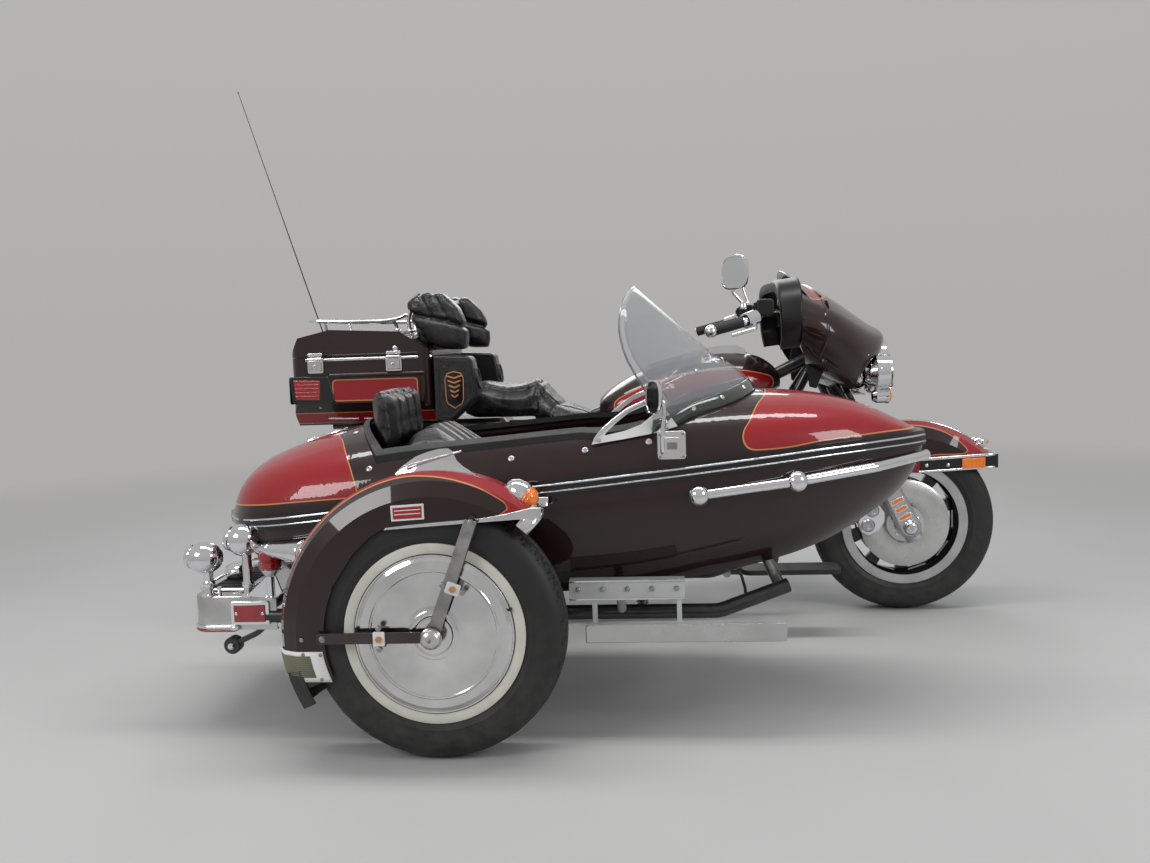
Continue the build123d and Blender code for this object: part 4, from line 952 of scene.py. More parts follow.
snap = [(0, 8.2), (1.6, 8.2), (3.0, 6.6), (3.6, 4.2), (2.4, 3.4), (2.4, 0)]
for i, (x, z) in enumerate(((-56, 761), (18, 681), (386, 700), (572, 717), (731, 733), (208, 676))):
    for side, word in NEAR_FAR:
        stud(f"snap_{i}_{word}", tub_skin, (x, tub_y + side * 700, z), (0, -side, 0), snap, "chassis",
             satin_alloy, sharp=30)

# A ribbed crest along the tail's middle line
crest_lines = [((-365 + 230 * i / 27, tub_y, 1000), DOWN) for i in range(28)]
rings = []
for i, (place, normal) in enumerate(zip(*laid(tub_skin, crest_lines))):
    share = i / 27
    wide = 17 * (1 - share) / 0.25 + 1.5
    if share < 0.75:
        wide = 17 * math.sin(math.pi * min(1, share * 1.25 + 0.12)) ** 0.6 + 1.5
    tall = (5.5 + (2.5 if i % 3 == 1 else 0)) * (0.4 + 0.6 * math.sin(math.pi * share))
    rings.append([place + Vector((0, a * wide, 0)) + normal * (b * tall - 0.6) for a, b in
                  ((-1, 0), (-0.7, 0.7), (-0.25, 1), (0.25, 1), (0.7, 0.7), (1, 0))])
loft("tail_crest", rings, "chassis", chrome, sharp=60)
for i, x in enumerate((-385, -118)):
    stud(f"tail_crest_screw_{i}", tub_skin, (x, tub_y, 1000), DOWN,
         [(0, 6.5), (2, 6.5), (4, 4), (4.4, 0)], "chassis", chrome, sharp=30)

# Windshield: the upper screen on a leaned cylinder, its skirt on the hood, the band and its rivets

def on_screen(turn, run):
    """A place on the screen's cylinder: its angle from the middle, and its run down from the top."""
    turn = math.radians(turn)
    inward = 312 * (1 - math.cos(turn))
    return Vector((701 + 0.736 * run - 0.676 * inward, 312 * math.sin(turn),
                   1127 - 0.676 * run - 0.736 * inward))


top_run = [(0, 0), (8.3, 1), (20, 1.5), (32.6, 7), (42.4, 26), (49.6, 50), (55.2, 81), (58.7, 108),
           (61.4, 142), (65.3, 205)]
crease_run = [(0, 290), (17, 281.5), (28.1, 265), (41.1, 247), (51.4, 232), (58.5, 220), (65.3, 209)]
foot = [(1010, 0, 850), (1003, 53, 846), (985, 90, 839), (968, 119, 832), (940, 151, 822), (900, 177, 812),
        (861, 198, 801), (836, 214, 793), (802, 234, 776), (772, 246, 766), (738, 262, 760)]
screen_rows, skirt_rows, band_rows = [], [], []
for i in range(45):
    share = -1 + 2 * i / 44
    side = -1 if share < 0 else 1
    turn = 65.3 * abs(share)
    top, crease = between(turn, top_run), between(turn, crease_run)
    column = [on_screen(turn, top + (crease - top) * j / 10) for j in range(11)]
    screen_rows.append([(p.x, tub_y + side * p.y, p.z) for p in column])
    k = abs(share) * (len(foot) - 1)
    low = Vector(foot[int(k)]).lerp(Vector(foot[min(int(k) + 1, len(foot) - 1)]), k - int(k))
    high = column[-1]
    skirt = []
    for j in range(9):
        t = j / 8
        place = high.lerp(low, t)
        bulge = 10 * math.sin(math.pi * t)
        skirt.append(place + Vector((bulge * 0.8, bulge * 0.5 * abs(share), bulge * 0.8)))
    skirt_rows.append([(p.x, tub_y + side * p.y, p.z) for p in skirt])
    out = Vector((0.55, 0.75 * abs(share), 0.45)).normalized()
    up = (skirt[6] - skirt[8]).normalized()
    corners = [low + out * 2.5 - up * 8, low + out * 5 - up * 6, low + out * 6 + up * 12,
               low + out * 5 + up * 24, low + out * 2 + up * 27]
    band_rows.append([(p.x, tub_y + side * p.y, p.z) for p in corners])


def glass_sheet(name, rows, finish, thick):
    """A sheet over rows of places, with its thickness."""
    return thicken(loft(name, rows, "chassis", finish, closed=False, caps=False, sharp=70), thick)


screen = glass_sheet("screen", screen_rows, smoked, 3.5)
glass_sheet("screen_skirt", skirt_rows, smoked, 3.5)
band = glass_sheet("screen_band", band_rows, screen_band, 3.0)
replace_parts(screen, "windshield")
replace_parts(band, "windshield_base")
edge = [Vector(row[0]) for row in screen_rows]
piece("screen_edge", *swept(edge, circle(2.6, 8)), "chassis", clear_lens, sharp=60)
for i in range(2, 43, 5):
    row = band_rows[i]
    middle = Vector(row[2])
    out = (middle - Vector((800, tub_y, 700))).normalized()
    spun(f"band_rivet_{i}", [(0, 6.5), (1.5, 6.5), (3.5, 4.5), (4, 0)], middle + out * 0.5, out, "chassis",
         chrome, steps=18)
for i in range(4, 42, 6):
    row = skirt_rows[i]
    middle = Vector(row[1])
    out = (middle - Vector((760, tub_y, 780))).normalized()
    spun(f"skirt_rivet_{i}", [(0, 5.5), (1.5, 5.5), (3.2, 4), (3.6, 0)], middle + out * 2, out, "chassis",
         chrome, steps=18)

# Side braces of the windshield: a white triangular plate with a window and a bright upper arm
for side, word in NEAR_FAR:
    def lay(x, z, out=0.0):
        """A place on a brace's leaning plane."""
        depth = 276 - (x - 590) * 0.10 - (z - 735) * 0.16 + out
        return (x, tub_y + side * depth, z)
    outer = [(589, 731), (672, 742), (759, 756), (803, 769), (782, 800), (764, 832), (742, 838), (722, 834),
             (679, 819), (648, 797), (613, 767), (598, 750)]
    window = [(622, 752), (672, 762), (712, 776), (744, 800), (748, 812), (740, 822), (722, 822), (683, 806),
              (652, 783), (632, 765), (626, 759), (623, 755)]
    points = [lay(x, z) for x, z in outer + window] + [lay(x, z, 4) for x, z in outer + window]
    n, faces = len(outer), []
    for i in range(n):
        j = (i + 1) % n
        faces += [(i, j, n + j, n + i), (2 * n + i, 2 * n + j, 3 * n + j, 3 * n + i),
                  (i, j, 2 * n + j, 2 * n + i), (n + i, n + j, 3 * n + j, 3 * n + i)]
    piece(f"brace_plate_{word}", points, faces, "chassis", white_paint, sharp=40, bevel=1.0)
    strap_path = [lay(x, z, 5) for x, z in ((597, 741), (612, 762), (650, 793), (682, 815), (722, 832),
                                            (744, 840))]
    tube(f"brace_arm_{word}", strap_path, 5.0, "chassis", chrome, bend=30, sides=10)
    for k, (x, z) in enumerate(((608, 741), (776, 768), (757, 826))):
        x0, y0, z0 = lay(x, z, 4)
        spun(f"brace_screw_{word}_{k}", [(0, 5), (1.5, 5), (3, 3.4), (3.2, 0)], (x0, y0, z0), (0, side, 0),
             "chassis", chrome, steps=16)

# Mirror on its plate and bent stem
mirror_foot = plate("mirror_plate", rounded_outline((752, 690), (822, 760), 8), -1176, -1169, "chassis",
                    chrome, bevel=1.5)
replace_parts(mirror_foot, "sidecar_mirror")
plate("mirror_plate_frame", rounded_outline((767, 705), (808, 745), 5), -1179, -1175, "chassis", chrome,
      bevel=1.5)
plate("mirror_plate_slot", rounded_outline((775, 715), (801, 733), 3), -1180.5, -1178, "chassis", steel,
      bevel=0.5)
for k, (x, z) in enumerate(((759, 697), (815, 697), (759, 753), (815, 753))):
    spun(f"mirror_plate_screw_{k}", [(0, 4), (1.5, 4), (2.8, 2.6), (3, 0)], (x, -1176, z), RIGHT,
         "chassis", steel, steps=16)
tube("mirror_stem", [(764, -1176, 706), (764, -1190, 712), (765, -1196, 760), (772, -1196, 812),
                     (769, -1198, 832), (758, -1198, 838)], 5.2, "chassis", chrome, bend=16)
ball("mirror_stem_joint", (767, -1197, 832), 8, "chassis", chrome, squeeze=(1.2, 0.8, 0.8), rings=10)


def mirror_head(name, centre, facing, wide, tall, roundness, depth, body):
    """An oval or rounded mirror head facing a direction: a bright shell and its glass."""
    facing = Vector(facing).normalized()
    level = facing.cross(Vector(UP)).normalized()
    raised = level.cross(facing).normalized()

    def oval(scale, push):
        """The head's outline at a share of its size, pushed ahead."""
        ring_points = []
        for i in range(32):
            turn = 2 * math.pi * i / 32
            c, s = math.cos(turn), math.sin(turn)
            across = math.copysign(abs(c) ** roundness, c) * wide / 2 * scale
            high = math.copysign(abs(s) ** roundness, s) * tall / 2 * scale
            ring_points.append(Vector(centre) + level * across + raised * high + facing * push)
        return ring_points
    shell = [oval(0.35, -depth), oval(0.75, -depth * 0.86), oval(0.95, -depth * 0.5),
             oval(1.0, -depth * 0.12), oval(1.0, 1), oval(0.93, 2), oval(0.91, 0)]
    made = loft(name + "_shell", shell, body, chrome, sharp=50)
    loft(name + "_glass", [oval(0.915, -1.0), oval(0.915, 0.6)], body, mirror_glass, sharp=30)
    return made


mirror_head("sidecar_mirror_head", (744, -1199, 846), (-0.80, -0.60, 0.02), 58, 84, 0.75, 16, "chassis")


# Cushions

def crowned_ring(x, middle, half, low, side, top):
    """A cushion's cross-section at one x: a flat base, rounded sides and a crowned top."""
    steps = 18
    ring = [(x, middle - half * 0.9, low), (x, middle - half, low + (side - low) * 0.35)]
    for i in range(steps + 1):
        share = -1 + 2 * i / steps
        rise = (1 - abs(share) ** 2.6) ** 0.62 if abs(share) < 1 else 0
        ring.append((x, middle + half * share, side + (top - side) * rise))
    ring += [(x, middle + half, low + (side - low) * 0.35), (x, middle + half * 0.9, low)]
    return ring


def seam(curve_distance, run, depth=6.0, width=6.0, pucker=1.6, spacing=16.0, reach=26.0):
    """How far a sewn channel pulls a place in: a groove, and gathers that fade away from it."""
    groove = depth * math.exp(-(curve_distance / width) ** 2)
    wave = (0.5 + 0.34 * math.sin(2 * math.pi * run / (spacing * 1.9))
            + 0.16 * math.sin(2 * math.pi * run / (spacing * 1.13) + 1.3))
    gathers = 1.3 * pucker * math.exp(-abs(curve_distance) / reach) * wave
    return groove + gathers


swell_frames = 20


def cushion(name, shells, pull, cap, body, node, voxel=0.0055):
    """A padded form: closed shells joined by a voxel remesh, swelled as cloth, then sewn."""
    points, faces = [], []
    for rings in shells:
        base, count = len(points), len(rings[0])
        points += [at(*p) for ring in rings for p in ring]
        for i in range(len(rings) - 1):
            for j in range(count):
                k = (j + 1) % count
                faces.append((base + i * count + j, base + i * count + k, base + (i + 1) * count + k,
                              base + (i + 1) * count + j))
        faces.append(tuple(base + j for j in range(count)))
        faces.append(tuple(base + (len(rings) - 1) * count + j for j in reversed(range(count))))
    mesh = bpy.data.meshes.new(name)
    mesh.from_pydata(points, [], faces)
    shape = bmesh.new()
    shape.from_mesh(mesh)
    bmesh.ops.recalc_face_normals(shape, faces=shape.faces)
    shape.to_mesh(mesh)
    shape.free()
    obj = bpy.data.objects.new(name, mesh)
    bpy.context.scene.collection.objects.link(obj)
    cut = obj.modifiers.new("remesh", "REMESH")
    cut.mode = "VOXEL"
    cut.voxel_size = voxel
    soften = obj.modifiers.new("soften", "SMOOTH")
    soften.factor = 0.5
    soften.iterations = 6
    settle(obj)
    start = [v.co.copy() for v in obj.data.vertices]
    cloth = obj.modifiers.new("cloth", "CLOTH")
    cloth.settings.quality = 5
    cloth.settings.mass = 0.3
    cloth.settings.tension_stiffness = cloth.settings.compression_stiffness = 12
    cloth.settings.shear_stiffness = 6
    cloth.settings.bending_stiffness = 0.6
    cloth.settings.use_pressure = True
    cloth.settings.uniform_pressure_force = 4.0
    cloth.settings.effector_weights.gravity = 0.0
    cloth.collision_settings.use_collision = False
    cloth.point_cache.frame_start, cloth.point_cache.frame_end = 1, swell_frames
    for frame_number in range(1, swell_frames + 1):
        bpy.context.scene.frame_set(frame_number)
    settle(obj)
    bpy.context.scene.frame_set(1)
    mesh = obj.data
    for v, place in zip(mesh.vertices, start):
        moved = v.co - place
        if moved.length > cap / 1000:
            v.co = place + moved.normalized() * cap / 1000
    mesh.update()
    normals = [v.normal.copy() for v in mesh.vertices]
    for v, normal in zip(mesh.vertices, normals):
        v.co -= normal * pull(layout(v.co), normal) / 1000
    mesh.update()
    for polygon in mesh.polygons:
        polygon.use_smooth = True
    fine = obj.modifiers.new("fine", "SUBSURF")
    fine.levels = fine.render_levels = 1
    mesh.materials.append(black_leather)
    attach(obj, body)
    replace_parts(obj, node)


def settle(obj):
    """Applies an object's modifiers to its mesh."""
    dg = bpy.context.evaluated_depsgraph_get()
    done = bpy.data.meshes.new_from_object(obj.evaluated_get(dg))
    obj.modifiers.clear()
    obj.data = done


# Sidecar seat: a bulging pleated cushion, and a rounded back that wraps round the tub's rear
seat_top = [(82, 742, 205), (108, 776, 214), (150, 780, 216), (190, 752, 216), (236, 716, 214),
            (290, 698, 213), (350, 684, 212), (410, 671, 208), (448, 660, 204), (470, 644, 196)]
seat_rings = []
for x, top, half in seat_top:
    edge = 60 if x < 200 else 34
    low = 590 if 90 < x < 460 else 606
    seat_rings.append(crowned_ring(x, tub_y, half, low, top - edge, top - 5))


def seat_pull(place, normal):
    """The seams and gathers of the sidecar's seat."""
    if normal.z < -0.3:
        return 0.0
    x, y = place.x, place.y - tub_y
    total = seam(x - 86 + 0.0006 * y * y, y, 5, 7, 0, 20)
    for offset in (-126, -44, 44, 126):
        spread = offset * (0.62 + 0.38 * (x - 80) / 390)
        total += seam(y - spread, x, 12, 11, 1.8, 30, 14)
    ripple = 0.5 + 0.3 * math.sin(y / 9.5) + 0.2 * math.sin(y / 5.7 + 1)
    total += 3.2 * math.exp(-max(0.0, x - 96) / 60) * ripple
    total += seam(x - 330 + 0.0014 * y * y, y, 6, 7, 2.4, 26)
    return total


cushion("sidecar_seat_pad", [seat_rings], seat_pull, 12, "chassis", "sidecar_seat")


def back_outline(z, grow):
    """The seat back's plan at a height: flat ahead, bowed behind, its corners rounded."""
    lean = -(z - 704) * math.tan(math.radians(5))
    half = 192 - grow
    rear = [(-2 + grow + 42 * (y / 200) ** 2 + lean, tub_y + y)
            for y in [half * (1 - i / 6) for i in range(1, 12)]]
    front = [(66 - grow + lean, tub_y - half * (1 - i / 5)) for i in range(1, 10)]
    near = [(66 - grow - 10 + lean, tub_y - half + 3), (52 + lean, tub_y - half),
            (44 + grow * 0.4 + lean, tub_y - half + 2)]
    far = [(x, 2 * tub_y - y) for x, y in near[::-1]]
    return far + rear + near[::-1] + front


back_rings = []
for z, grow in ((712, 8), (724, 2), (750, 0), (784, 0), (816, 0), (842, 0), (860, 4), (872, 12), (879, 22)):
    back_rings.append([(x, y, z) for x, y in back_outline(z, grow)])


def back_pull(place, normal):
    """The seams and gathers of the sidecar's seat back."""
    y, z = place.y - tub_y, place.z
    total = 0.0
    if normal.x > 0.3:
        for offset in (-92, 0, 92):
            total += seam(y - offset * (1 - 0.0008 * (z - 740)), z, 8, 7, 2.4, 24)
    forward = place.x + (z - 704) * 0.0875
    total += seam(forward - 52, y if abs(y) < 180 else z, 5, 5, 1.2, 22)
    ripple = 0.5 + 0.3 * math.sin(y / 8.5) + 0.2 * math.sin(y / 5.1 + 2)
    total += 2.0 * math.exp(-abs(z - 868) / 12) * ripple
    return total


cushion("sidecar_back_pad", [back_rings], back_pull, 8, "chassis", "sidecar_seat")

# Rider's and pillion seat
pillion = [(74, 776, 800, 128), (100, 806, 838, 138), (150, 800, 836, 146), (199, 792, 826, 150),
           (250, 790, 824, 152), (288, 792, 828, 150), (318, 806, 840, 146), (338, 806, 838, 142),
           (352, 790, 820, 138)]
rider = [(330, 786, 812, 150), (356, 780, 812, 158), (380, 758, 784, 170), (409, 732, 758, 182),
         (450, 716, 742, 184), (496, 702, 726, 166), (536, 690, 708, 120)]
pillion_rings = [crowned_ring(x, 0, half, 735, side, top) for x, side, top, half in pillion]
rider_rings = [crowned_ring(x, 0, half, 708 if x < 400 else 694, side - 18, top)
               for x, side, top, half in rider]


def saddle_pull(place, normal):
    """The seams and gathers of the rider's and pillion seat."""
    if normal.z < -0.2:
        return 0.0
    y, x = place.y, place.x
    total = seam(x - 344 + 0.0009 * y * y, y, 8, 7, 2.6, 24)
    if x < 344:
        total += seam(abs(y) - 92 - 10 * math.sin((x - 70) / 90), x, 6, 6, 2.0, 20)
        total += seam(x - 232 + 0.0012 * y * y, y, 4.5, 6, 1.8, 22) * (1 if abs(y) < 96 else 0.4)
    else:
        total += seam(abs(y) - 112 + 0.25 * (x - 344), x, 6, 6, 2.0, 20)
        total += seam(x - 424 + 0.0016 * y * y, y, 4, 6, 1.8, 22)
    return total + 1.2 * math.sin(x / 24 + y / 33)


cushion("rider_seat_pad", [pillion_rings, rider_rings], saddle_pull, 12, "chassis", "seat")

# Wrap-round backrest: a back pad between two big wings, in two tiers
wing = [(-80, 1126), (-52, 1154), (-8, 1170), (44, 1158), (90, 1112), (122, 1050), (126, 1000), (120, 968),
        (60, 966), (24, 970), (-10, 984), (-50, 1040), (-78, 1096)]


def shrunk(outline, share, centre):
    """An outline drawn in towards a centre."""
    return [(centre[0] + (x - centre[0]) * share, centre[1] + (z - centre[1]) * share) for x, z in outline]


wing_shells = []
for side in (-1, 1):
    rings = []
    for y, share in ((188, 0.84), (198, 0.96), (212, 1.0), (240, 1.0), (254, 0.96), (264, 0.84), (268, 0.66)):
        rings.append([(x, side * y, z) for x, z in shrunk(wing, share, (22, 1060))])
    wing_shells.append(rings)
spine = []
for y in (-204, -190, -120, -40, 40, 120, 190, 204):
    lean = 0.00035 * y * y
    spine.append([(x + lean, y, z) for x, z in rounded_outline((-66, 968), (-2, 1164), 28, 4)])
wing_shells.append(spine)


def wing_pull(place, normal):
    """The seams and gathers of the wrap-round backrest."""
    x, y, z = place
    run = x if abs(y) > 190 else y
    total = seam(z - (1086 - 0.00036 * (x + 60) ** 2 - 0.17 * (x + 60)), run, 14, 9, 3.4, 26, 30)
    if abs(y) < 195 and normal.x > 0.2:
        for offset in (50, 118):
            total += seam(abs(y) - offset, z, 8, 7, 2.4, 22)
    if abs(y) > 190 and z > 1086 - 0.17 * (x + 60):
        for start in (-36, 14):
            total += seam(x - start + 0.55 * (z - 1150), z, 8, 7, 3.0, 22)
    if abs(y) > 190:
        total += 2.2 * math.exp(-abs(abs(y) - 226) / 10) * (0.5 + 0.5 * math.sin((x - z) / 12))
    return total + 1.4 * math.sin(x / 22 + z / 29)


cushion("backrest_pad", wing_shells, wing_pull, 14, "top_case_lid", "pillion_backrest", voxel=0.006)


# Top case: the seam's bands, latches on the side away from the hinge, screws, side lights and swages
case_skin = surface_of(nodes["top_case_base"])
lid_skin = surface_of(nodes["top_case_lid"])


def round_case(tree, z):
    """Places round the top case's rear and sides at one height, from the right front to the left front."""
    x_from, x_to, steps = -486, -4, 10
    starts = [((x_to + (x_from + 60 - x_to) * i / steps, -500), LEFT) for i in range(steps + 1)]
    for i in range(1, 12):
        turn = math.radians(180 * i / 12)
        starts.append(((-250 - 500 * math.sin(turn), -500 * math.cos(turn)),
                       (math.sin(turn), math.cos(turn), 0)))
    starts += [((x_from + 60 + (x_to - x_from - 60) * i / steps, 500), RIGHT) for i in range(steps + 1)]
    return laid(tree, [((x, y, z), aim) for (x, y), aim in starts])


half_round("case_seam_band", *round_case(case_skin, 947), 11, 3.2, "chassis", chrome)
half_round("case_lid_band", *round_case(lid_skin, 961), 7, 2.4, "top_case_lid", gloss_black)
for x in (-392, -124):
    side_plate(f"case_latch_plate_right_{-x}", rounded_outline((x - 27, 903), (x + 27, 954), 5), -1, 299, 307,
               "chassis", chrome, bevel=1.5)
    side_plate(f"case_latch_tongue_right_{-x}", rounded_outline((x - 22, 909), (x + 22, 946), 4), -1, 306,
               313, "chassis", polished, bevel=2.5)
    tube(f"case_latch_roll_right_{-x}", [(x - 23, -310, 951), (x + 23, -310, 951)], 4.6, "chassis", chrome)
    spun(f"case_latch_lock_right_{-x}", [(0, 6.5), (2, 6.5), (2.6, 4.6), (2.2, 2.2), (1, 2)],
         (x, -312, 925), RIGHT, "chassis", satin_alloy, steps=20)
    side_plate(f"case_latch_hook_right_{-x}", rounded_outline((x - 25, 959), (x + 25, 970), 3), -1, 299, 307,
               "top_case_lid", chrome, bevel=1.5)
for side, word in SIDES:
    stud(f"lid_screw_{word}", lid_skin, *from_side(side, [(-118, 978)])[0],
         [(0, 9), (2.5, 9), (5, 7), (6, 3), (5, 0)], "top_case_lid", chrome)
    # The light's black frame round the corner, its red glass, and the swage that it starts
    frame_shape = [(-478, 806), (-346, 798), (-330, 806), (-352, 891), (-484, 893)]
    side_plate(f"side_light_frame_{word}", frame_shape, side, 292, 304, "chassis", gloss_black, bevel=3)
    side_plate(f"side_light_glass_{word}", [(-466, 815), (-383, 812), (-379, 878), (-472, 881)], side, 300,
               306, "chassis", red_lens, bevel=2.5)
    for z in (826, 839, 852, 865):
        tube(f"side_light_rib_{word}_{z}", [(-466, side * 306.3, z), (-384, side * 306.3, z)], 1.2, "chassis",
             red_lens, sides=8)
    swage = laid(case_skin, from_side(side, [(x, 893) for x in range(-346, -6, 20)]))
    half_round(f"case_swage_{word}", *swage, 14, 4.5, "chassis", dark_paint)
    for i, line in enumerate(from_side(side, ((-388, 786), (-22, 786)))):
        stud(f"case_screw_{word}_{i}", case_skin, *line, [(0, 5), (1.5, 5), (2.5, 3), (2.6, 0)], "chassis",
             steel, steps=16)

# Rear lights: a deep red glass band in a black frame with ribs and a bright divider
plate("rear_light_frame", rounded_outline((-292, 798), (292, 893), 12), -492, -486, "chassis", gloss_black,
      plane="x", bevel=3)
for side, word in SIDES:
    low, high = sorted((side * 24, side * 278))
    plate(f"rear_light_glass_{word}", rounded_outline((low, 810), (high, 882), 9), -496, -491, "chassis",
          red_lens, plane="x", bevel=2.5)
    for i in range(6):
        z = 820 + i * 10.4
        tube(f"rear_light_rib_{word}_{i}", [(-496.3, low + 8, z), (-496.3, high - 8, z)], 1.3, "chassis",
             red_lens, sides=8)
plate("rear_light_divider", rounded_outline((-15, 806), (15, 886), 4), -495, -490, "chassis", chrome,
      plane="x", bevel=2)
plate("rear_case_badge", rounded_outline((-88, 902), (88, 938), 8), -490, -484.6, "chassis", chrome,
      plane="x", bevel=2)
plate("rear_case_badge_field", rounded_outline((-78, 908), (78, 932), 5), -491.4, -489.6, "chassis",
      gloss_black, plane="x", bevel=1)

# A lip under the case's bulge
for side, word in SIDES:
    lip = laid(case_skin, from_side(side, [(x, 728) for x in range(-430, -20, 20)]))
    half_round(f"case_low_lip_{word}", *lip, 6, 2.5, "chassis", gloss_black)

# Luggage rack: slats that slope, a side loop and a bright upright
for side, word in SIDES:
    tube(f"rack_side_{word}", [(-452, side * 150, 1082), (-430, side * 168, 1080), (-300, side * 172, 1074),
                               (-190, side * 172, 1072), (-140, side * 168, 1078), (-122, side * 150, 1088)],
         6.5, "top_case_lid", chrome, bend=30)
    tube(f"rack_leg_{word}", [(-160, side * 150, 1078), (-150, side * 142, 1060), (-148, side * 138, 1036)],
         6, "top_case_lid", chrome, bend=12)
    tube(f"rack_rear_leg_{word}", [(-404, side * 150, 1078), (-400, side * 146, 1056),
                                   (-398, side * 144, 1034)], 6, "top_case_lid", chrome, bend=12)
    for x, z in ((-149, 1036), (-398, 1033)):
        spun(f"rack_foot_{word}_{-x}", [(0, 15), (3, 15), (6, 10), (10, 8)],
             (x, side * (138 if x > -200 else 144), z), UP, "top_case_lid", chrome, steps=20)
rear_bar = tube("rack_rear_bar", [(-452, -150, 1082), (-462, -120, 1082), (-462, 120, 1082),
                                  (-452, 150, 1082)], 6.5, "top_case_lid", chrome, bend=20)
tube("rack_front_bar", [(-122, -150, 1088), (-116, -120, 1090), (-116, 120, 1090), (-122, 150, 1088)], 6.5,
     "top_case_lid", chrome, bend=20)
for i in range(9):
    y = -136 + i * 34
    strap(f"rack_slat_{i}", [(-460, y, 1082), (-300, y, 1074), (-292, y, 1073)], 12, 3.5, "top_case_lid",
          chrome, bend=20, bevel=1)
tube("rack_middle_bar", [(-292, -170, 1073), (-292, 170, 1073)], 5.5, "top_case_lid", chrome)
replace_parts(rear_bar, "lid_rack")

# The backrest's bright frame behind the pads, with its posts and mounting plate
for side, word in SIDES:
    tube(f"backrest_post_{word}", [(-108, side * 120, 1036), (-112, side * 122, 1080),
                                   (-88, side * 122, 1150), (-70, side * 118, 1166)], 7, "top_case_lid",
         chrome, bend=30)
    spun(f"backrest_post_foot_{word}", [(0, 17), (4, 17), (8, 11), (14, 9)], (-108, side * 120, 1033),
         UP, "top_case_lid", chrome, steps=20)
tube("backrest_hoop", [(-104, -122, 1092), (-100, -100, 1128), (-98, 100, 1128), (-104, 122, 1092)], 6,
     "top_case_lid", chrome, bend=30)
plate("backrest_plate", rounded_outline((-176, 1000), (176, 1140), 26), -70, -62, "top_case_lid", gloss_black,
      plane="x", bevel=2)

# Antenna: a rubber foot, a ribbed spring and a tapering whip
foot, tip = Vector((-512, 250, 950)), Vector((-822, 250, 1972))
aim = (tip - foot).normalized()
whip = spun("antenna_whip", [(0, 2.6), (300, 2.4), (800, 1.9), (1061, 1.4), (1062, 2.6), (1067, 2.6),
                             (1068, 0)], foot, aim, "chassis", gloss_black, steps=12)
coils = [(-20, 9), (0, 9)]
for i in range(16):
    coils += [(2 + i * 3.4, 7.6), (3.7 + i * 3.4, 6.4)]
coils += [(58, 7), (66, 4.2), (70, 3.2)]
spun("antenna_spring", coils, foot, aim, "chassis", rubber, steps=20)
plate("antenna_bracket", rounded_outline((230, 900), (270, 954), 8), -508, -484.6, "chassis", gloss_black,
      plane="x", bevel=3)
spun("antenna_nut", [(-6, 11), (6, 11), (8, 8)], (-508, 250, 936), (-1, 0, 0.5), "chassis", chrome, steps=6)
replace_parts(whip, "antenna")

# Speaker pods: leather-covered boxes, each with a ringed speaker ahead and a plain shield at the side
pod_shape = [(4, 728), (58, 722), (150, 802), (154, 832), (138, 930), (128, 944), (4, 950)]
for side, word in SIDES:
    made = side_plate(f"pod_{word}", pod_shape, side, 205, 288, "chassis", black_leather, bevel=9)
    if side < 0:
        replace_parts(made, "speaker_pods")
    inner = [(20, 745), (62, 742), (134, 808), (138, 832), (126, 916), (116, 930), (20, 934)]
    path = [Vector((x, side * 288.4, z)) for x, z in inner]
    normals = [Vector((0, side, 0))] * len(path)
    half_round(f"pod_seam_{word}", path, normals, 5, 2.0, "chassis", rubber, closed=True)
    lean = Vector((0.985, 0, 0.17)).normalized()
    face = Vector((148, side * 247, 868))
    spun(f"pod_speaker_ring_{word}", [(-4, 37), (3, 37), (6, 35), (6, 31), (3, 30), (1, 28), (-4, 28)], face,
         lean, "chassis", plastic_black, steps=40)
    grid = [(0, 28)] + [(1.4 + (0.9 if i % 2 else 0), 27 - i * 2.4) for i in range(11)]
    spun(f"pod_speaker_grid_{word}", grid + [(1.5, 0)], face, lean, "chassis", plastic_black, steps=40)
    shield = [(46, 800), (52, 786), (75, 772), (98, 786), (104, 800), (106, 872), (98, 888), (75, 894),
              (52, 888), (44, 872)]
    side_plate(f"pod_shield_{word}", shield, side, 287, 290.5, "chassis", gloss_black, bevel=1.2)
    path = [Vector((x, side * 290.5, z)) for x, z in shield]
    half_round(f"pod_shield_line_{word}", path, [Vector((0, side, 0))] * len(path), 3.2, 1.2, "chassis",
               gold_trim, closed=True)
    for k in range(5):
        z = 806 + 16 * k
        wide = 12 + 3.5 * k
        side_plate(f"pod_chevron_{word}_{k}", [(75 - wide, z + 8), (75, z), (75 + wide, z + 8),
                                               (75 + wide, z + 13), (75, z + 5), (75 - wide, z + 13)], side,
                   290, 292, "chassis", gold_trim, bevel=0.6)


# Front fender: bright rails on the black band, side markers, screws, bolts, a crest and the lamp on the tip

def band_edge(rise, out=0.0):
    """A line along the fender's black band and round its nose, at a height over the band's foot."""
    half, nose = 91.5 + out, 1909 + out
    side = [(x, 490 + rise + (x - 1638) * 0.0502) for x in (1640, 1700, 1760, 1820, 1870)]
    line = [(x, -half, z) for x, z in side]
    corner_z = 503 + rise
    for i in range(1, 6):
        turn = math.radians(90 * i / 6)
        line.append((nose - 34 + 34 * math.sin(turn), -half + 34 - 34 * math.cos(turn), corner_z))
    line.append((nose, -half + 34, corner_z))
    return line + [(x, -y, z) for x, y, z in reversed(line)]


def flat_ring(wide, tall):
    """An oval cross-section, its first size across a path and its second up."""
    sides = 12
    return [(wide / 2 * math.cos(2 * math.pi * i / sides),
             tall / 2 * math.sin(2 * math.pi * i / sides)) for i in range(sides)]


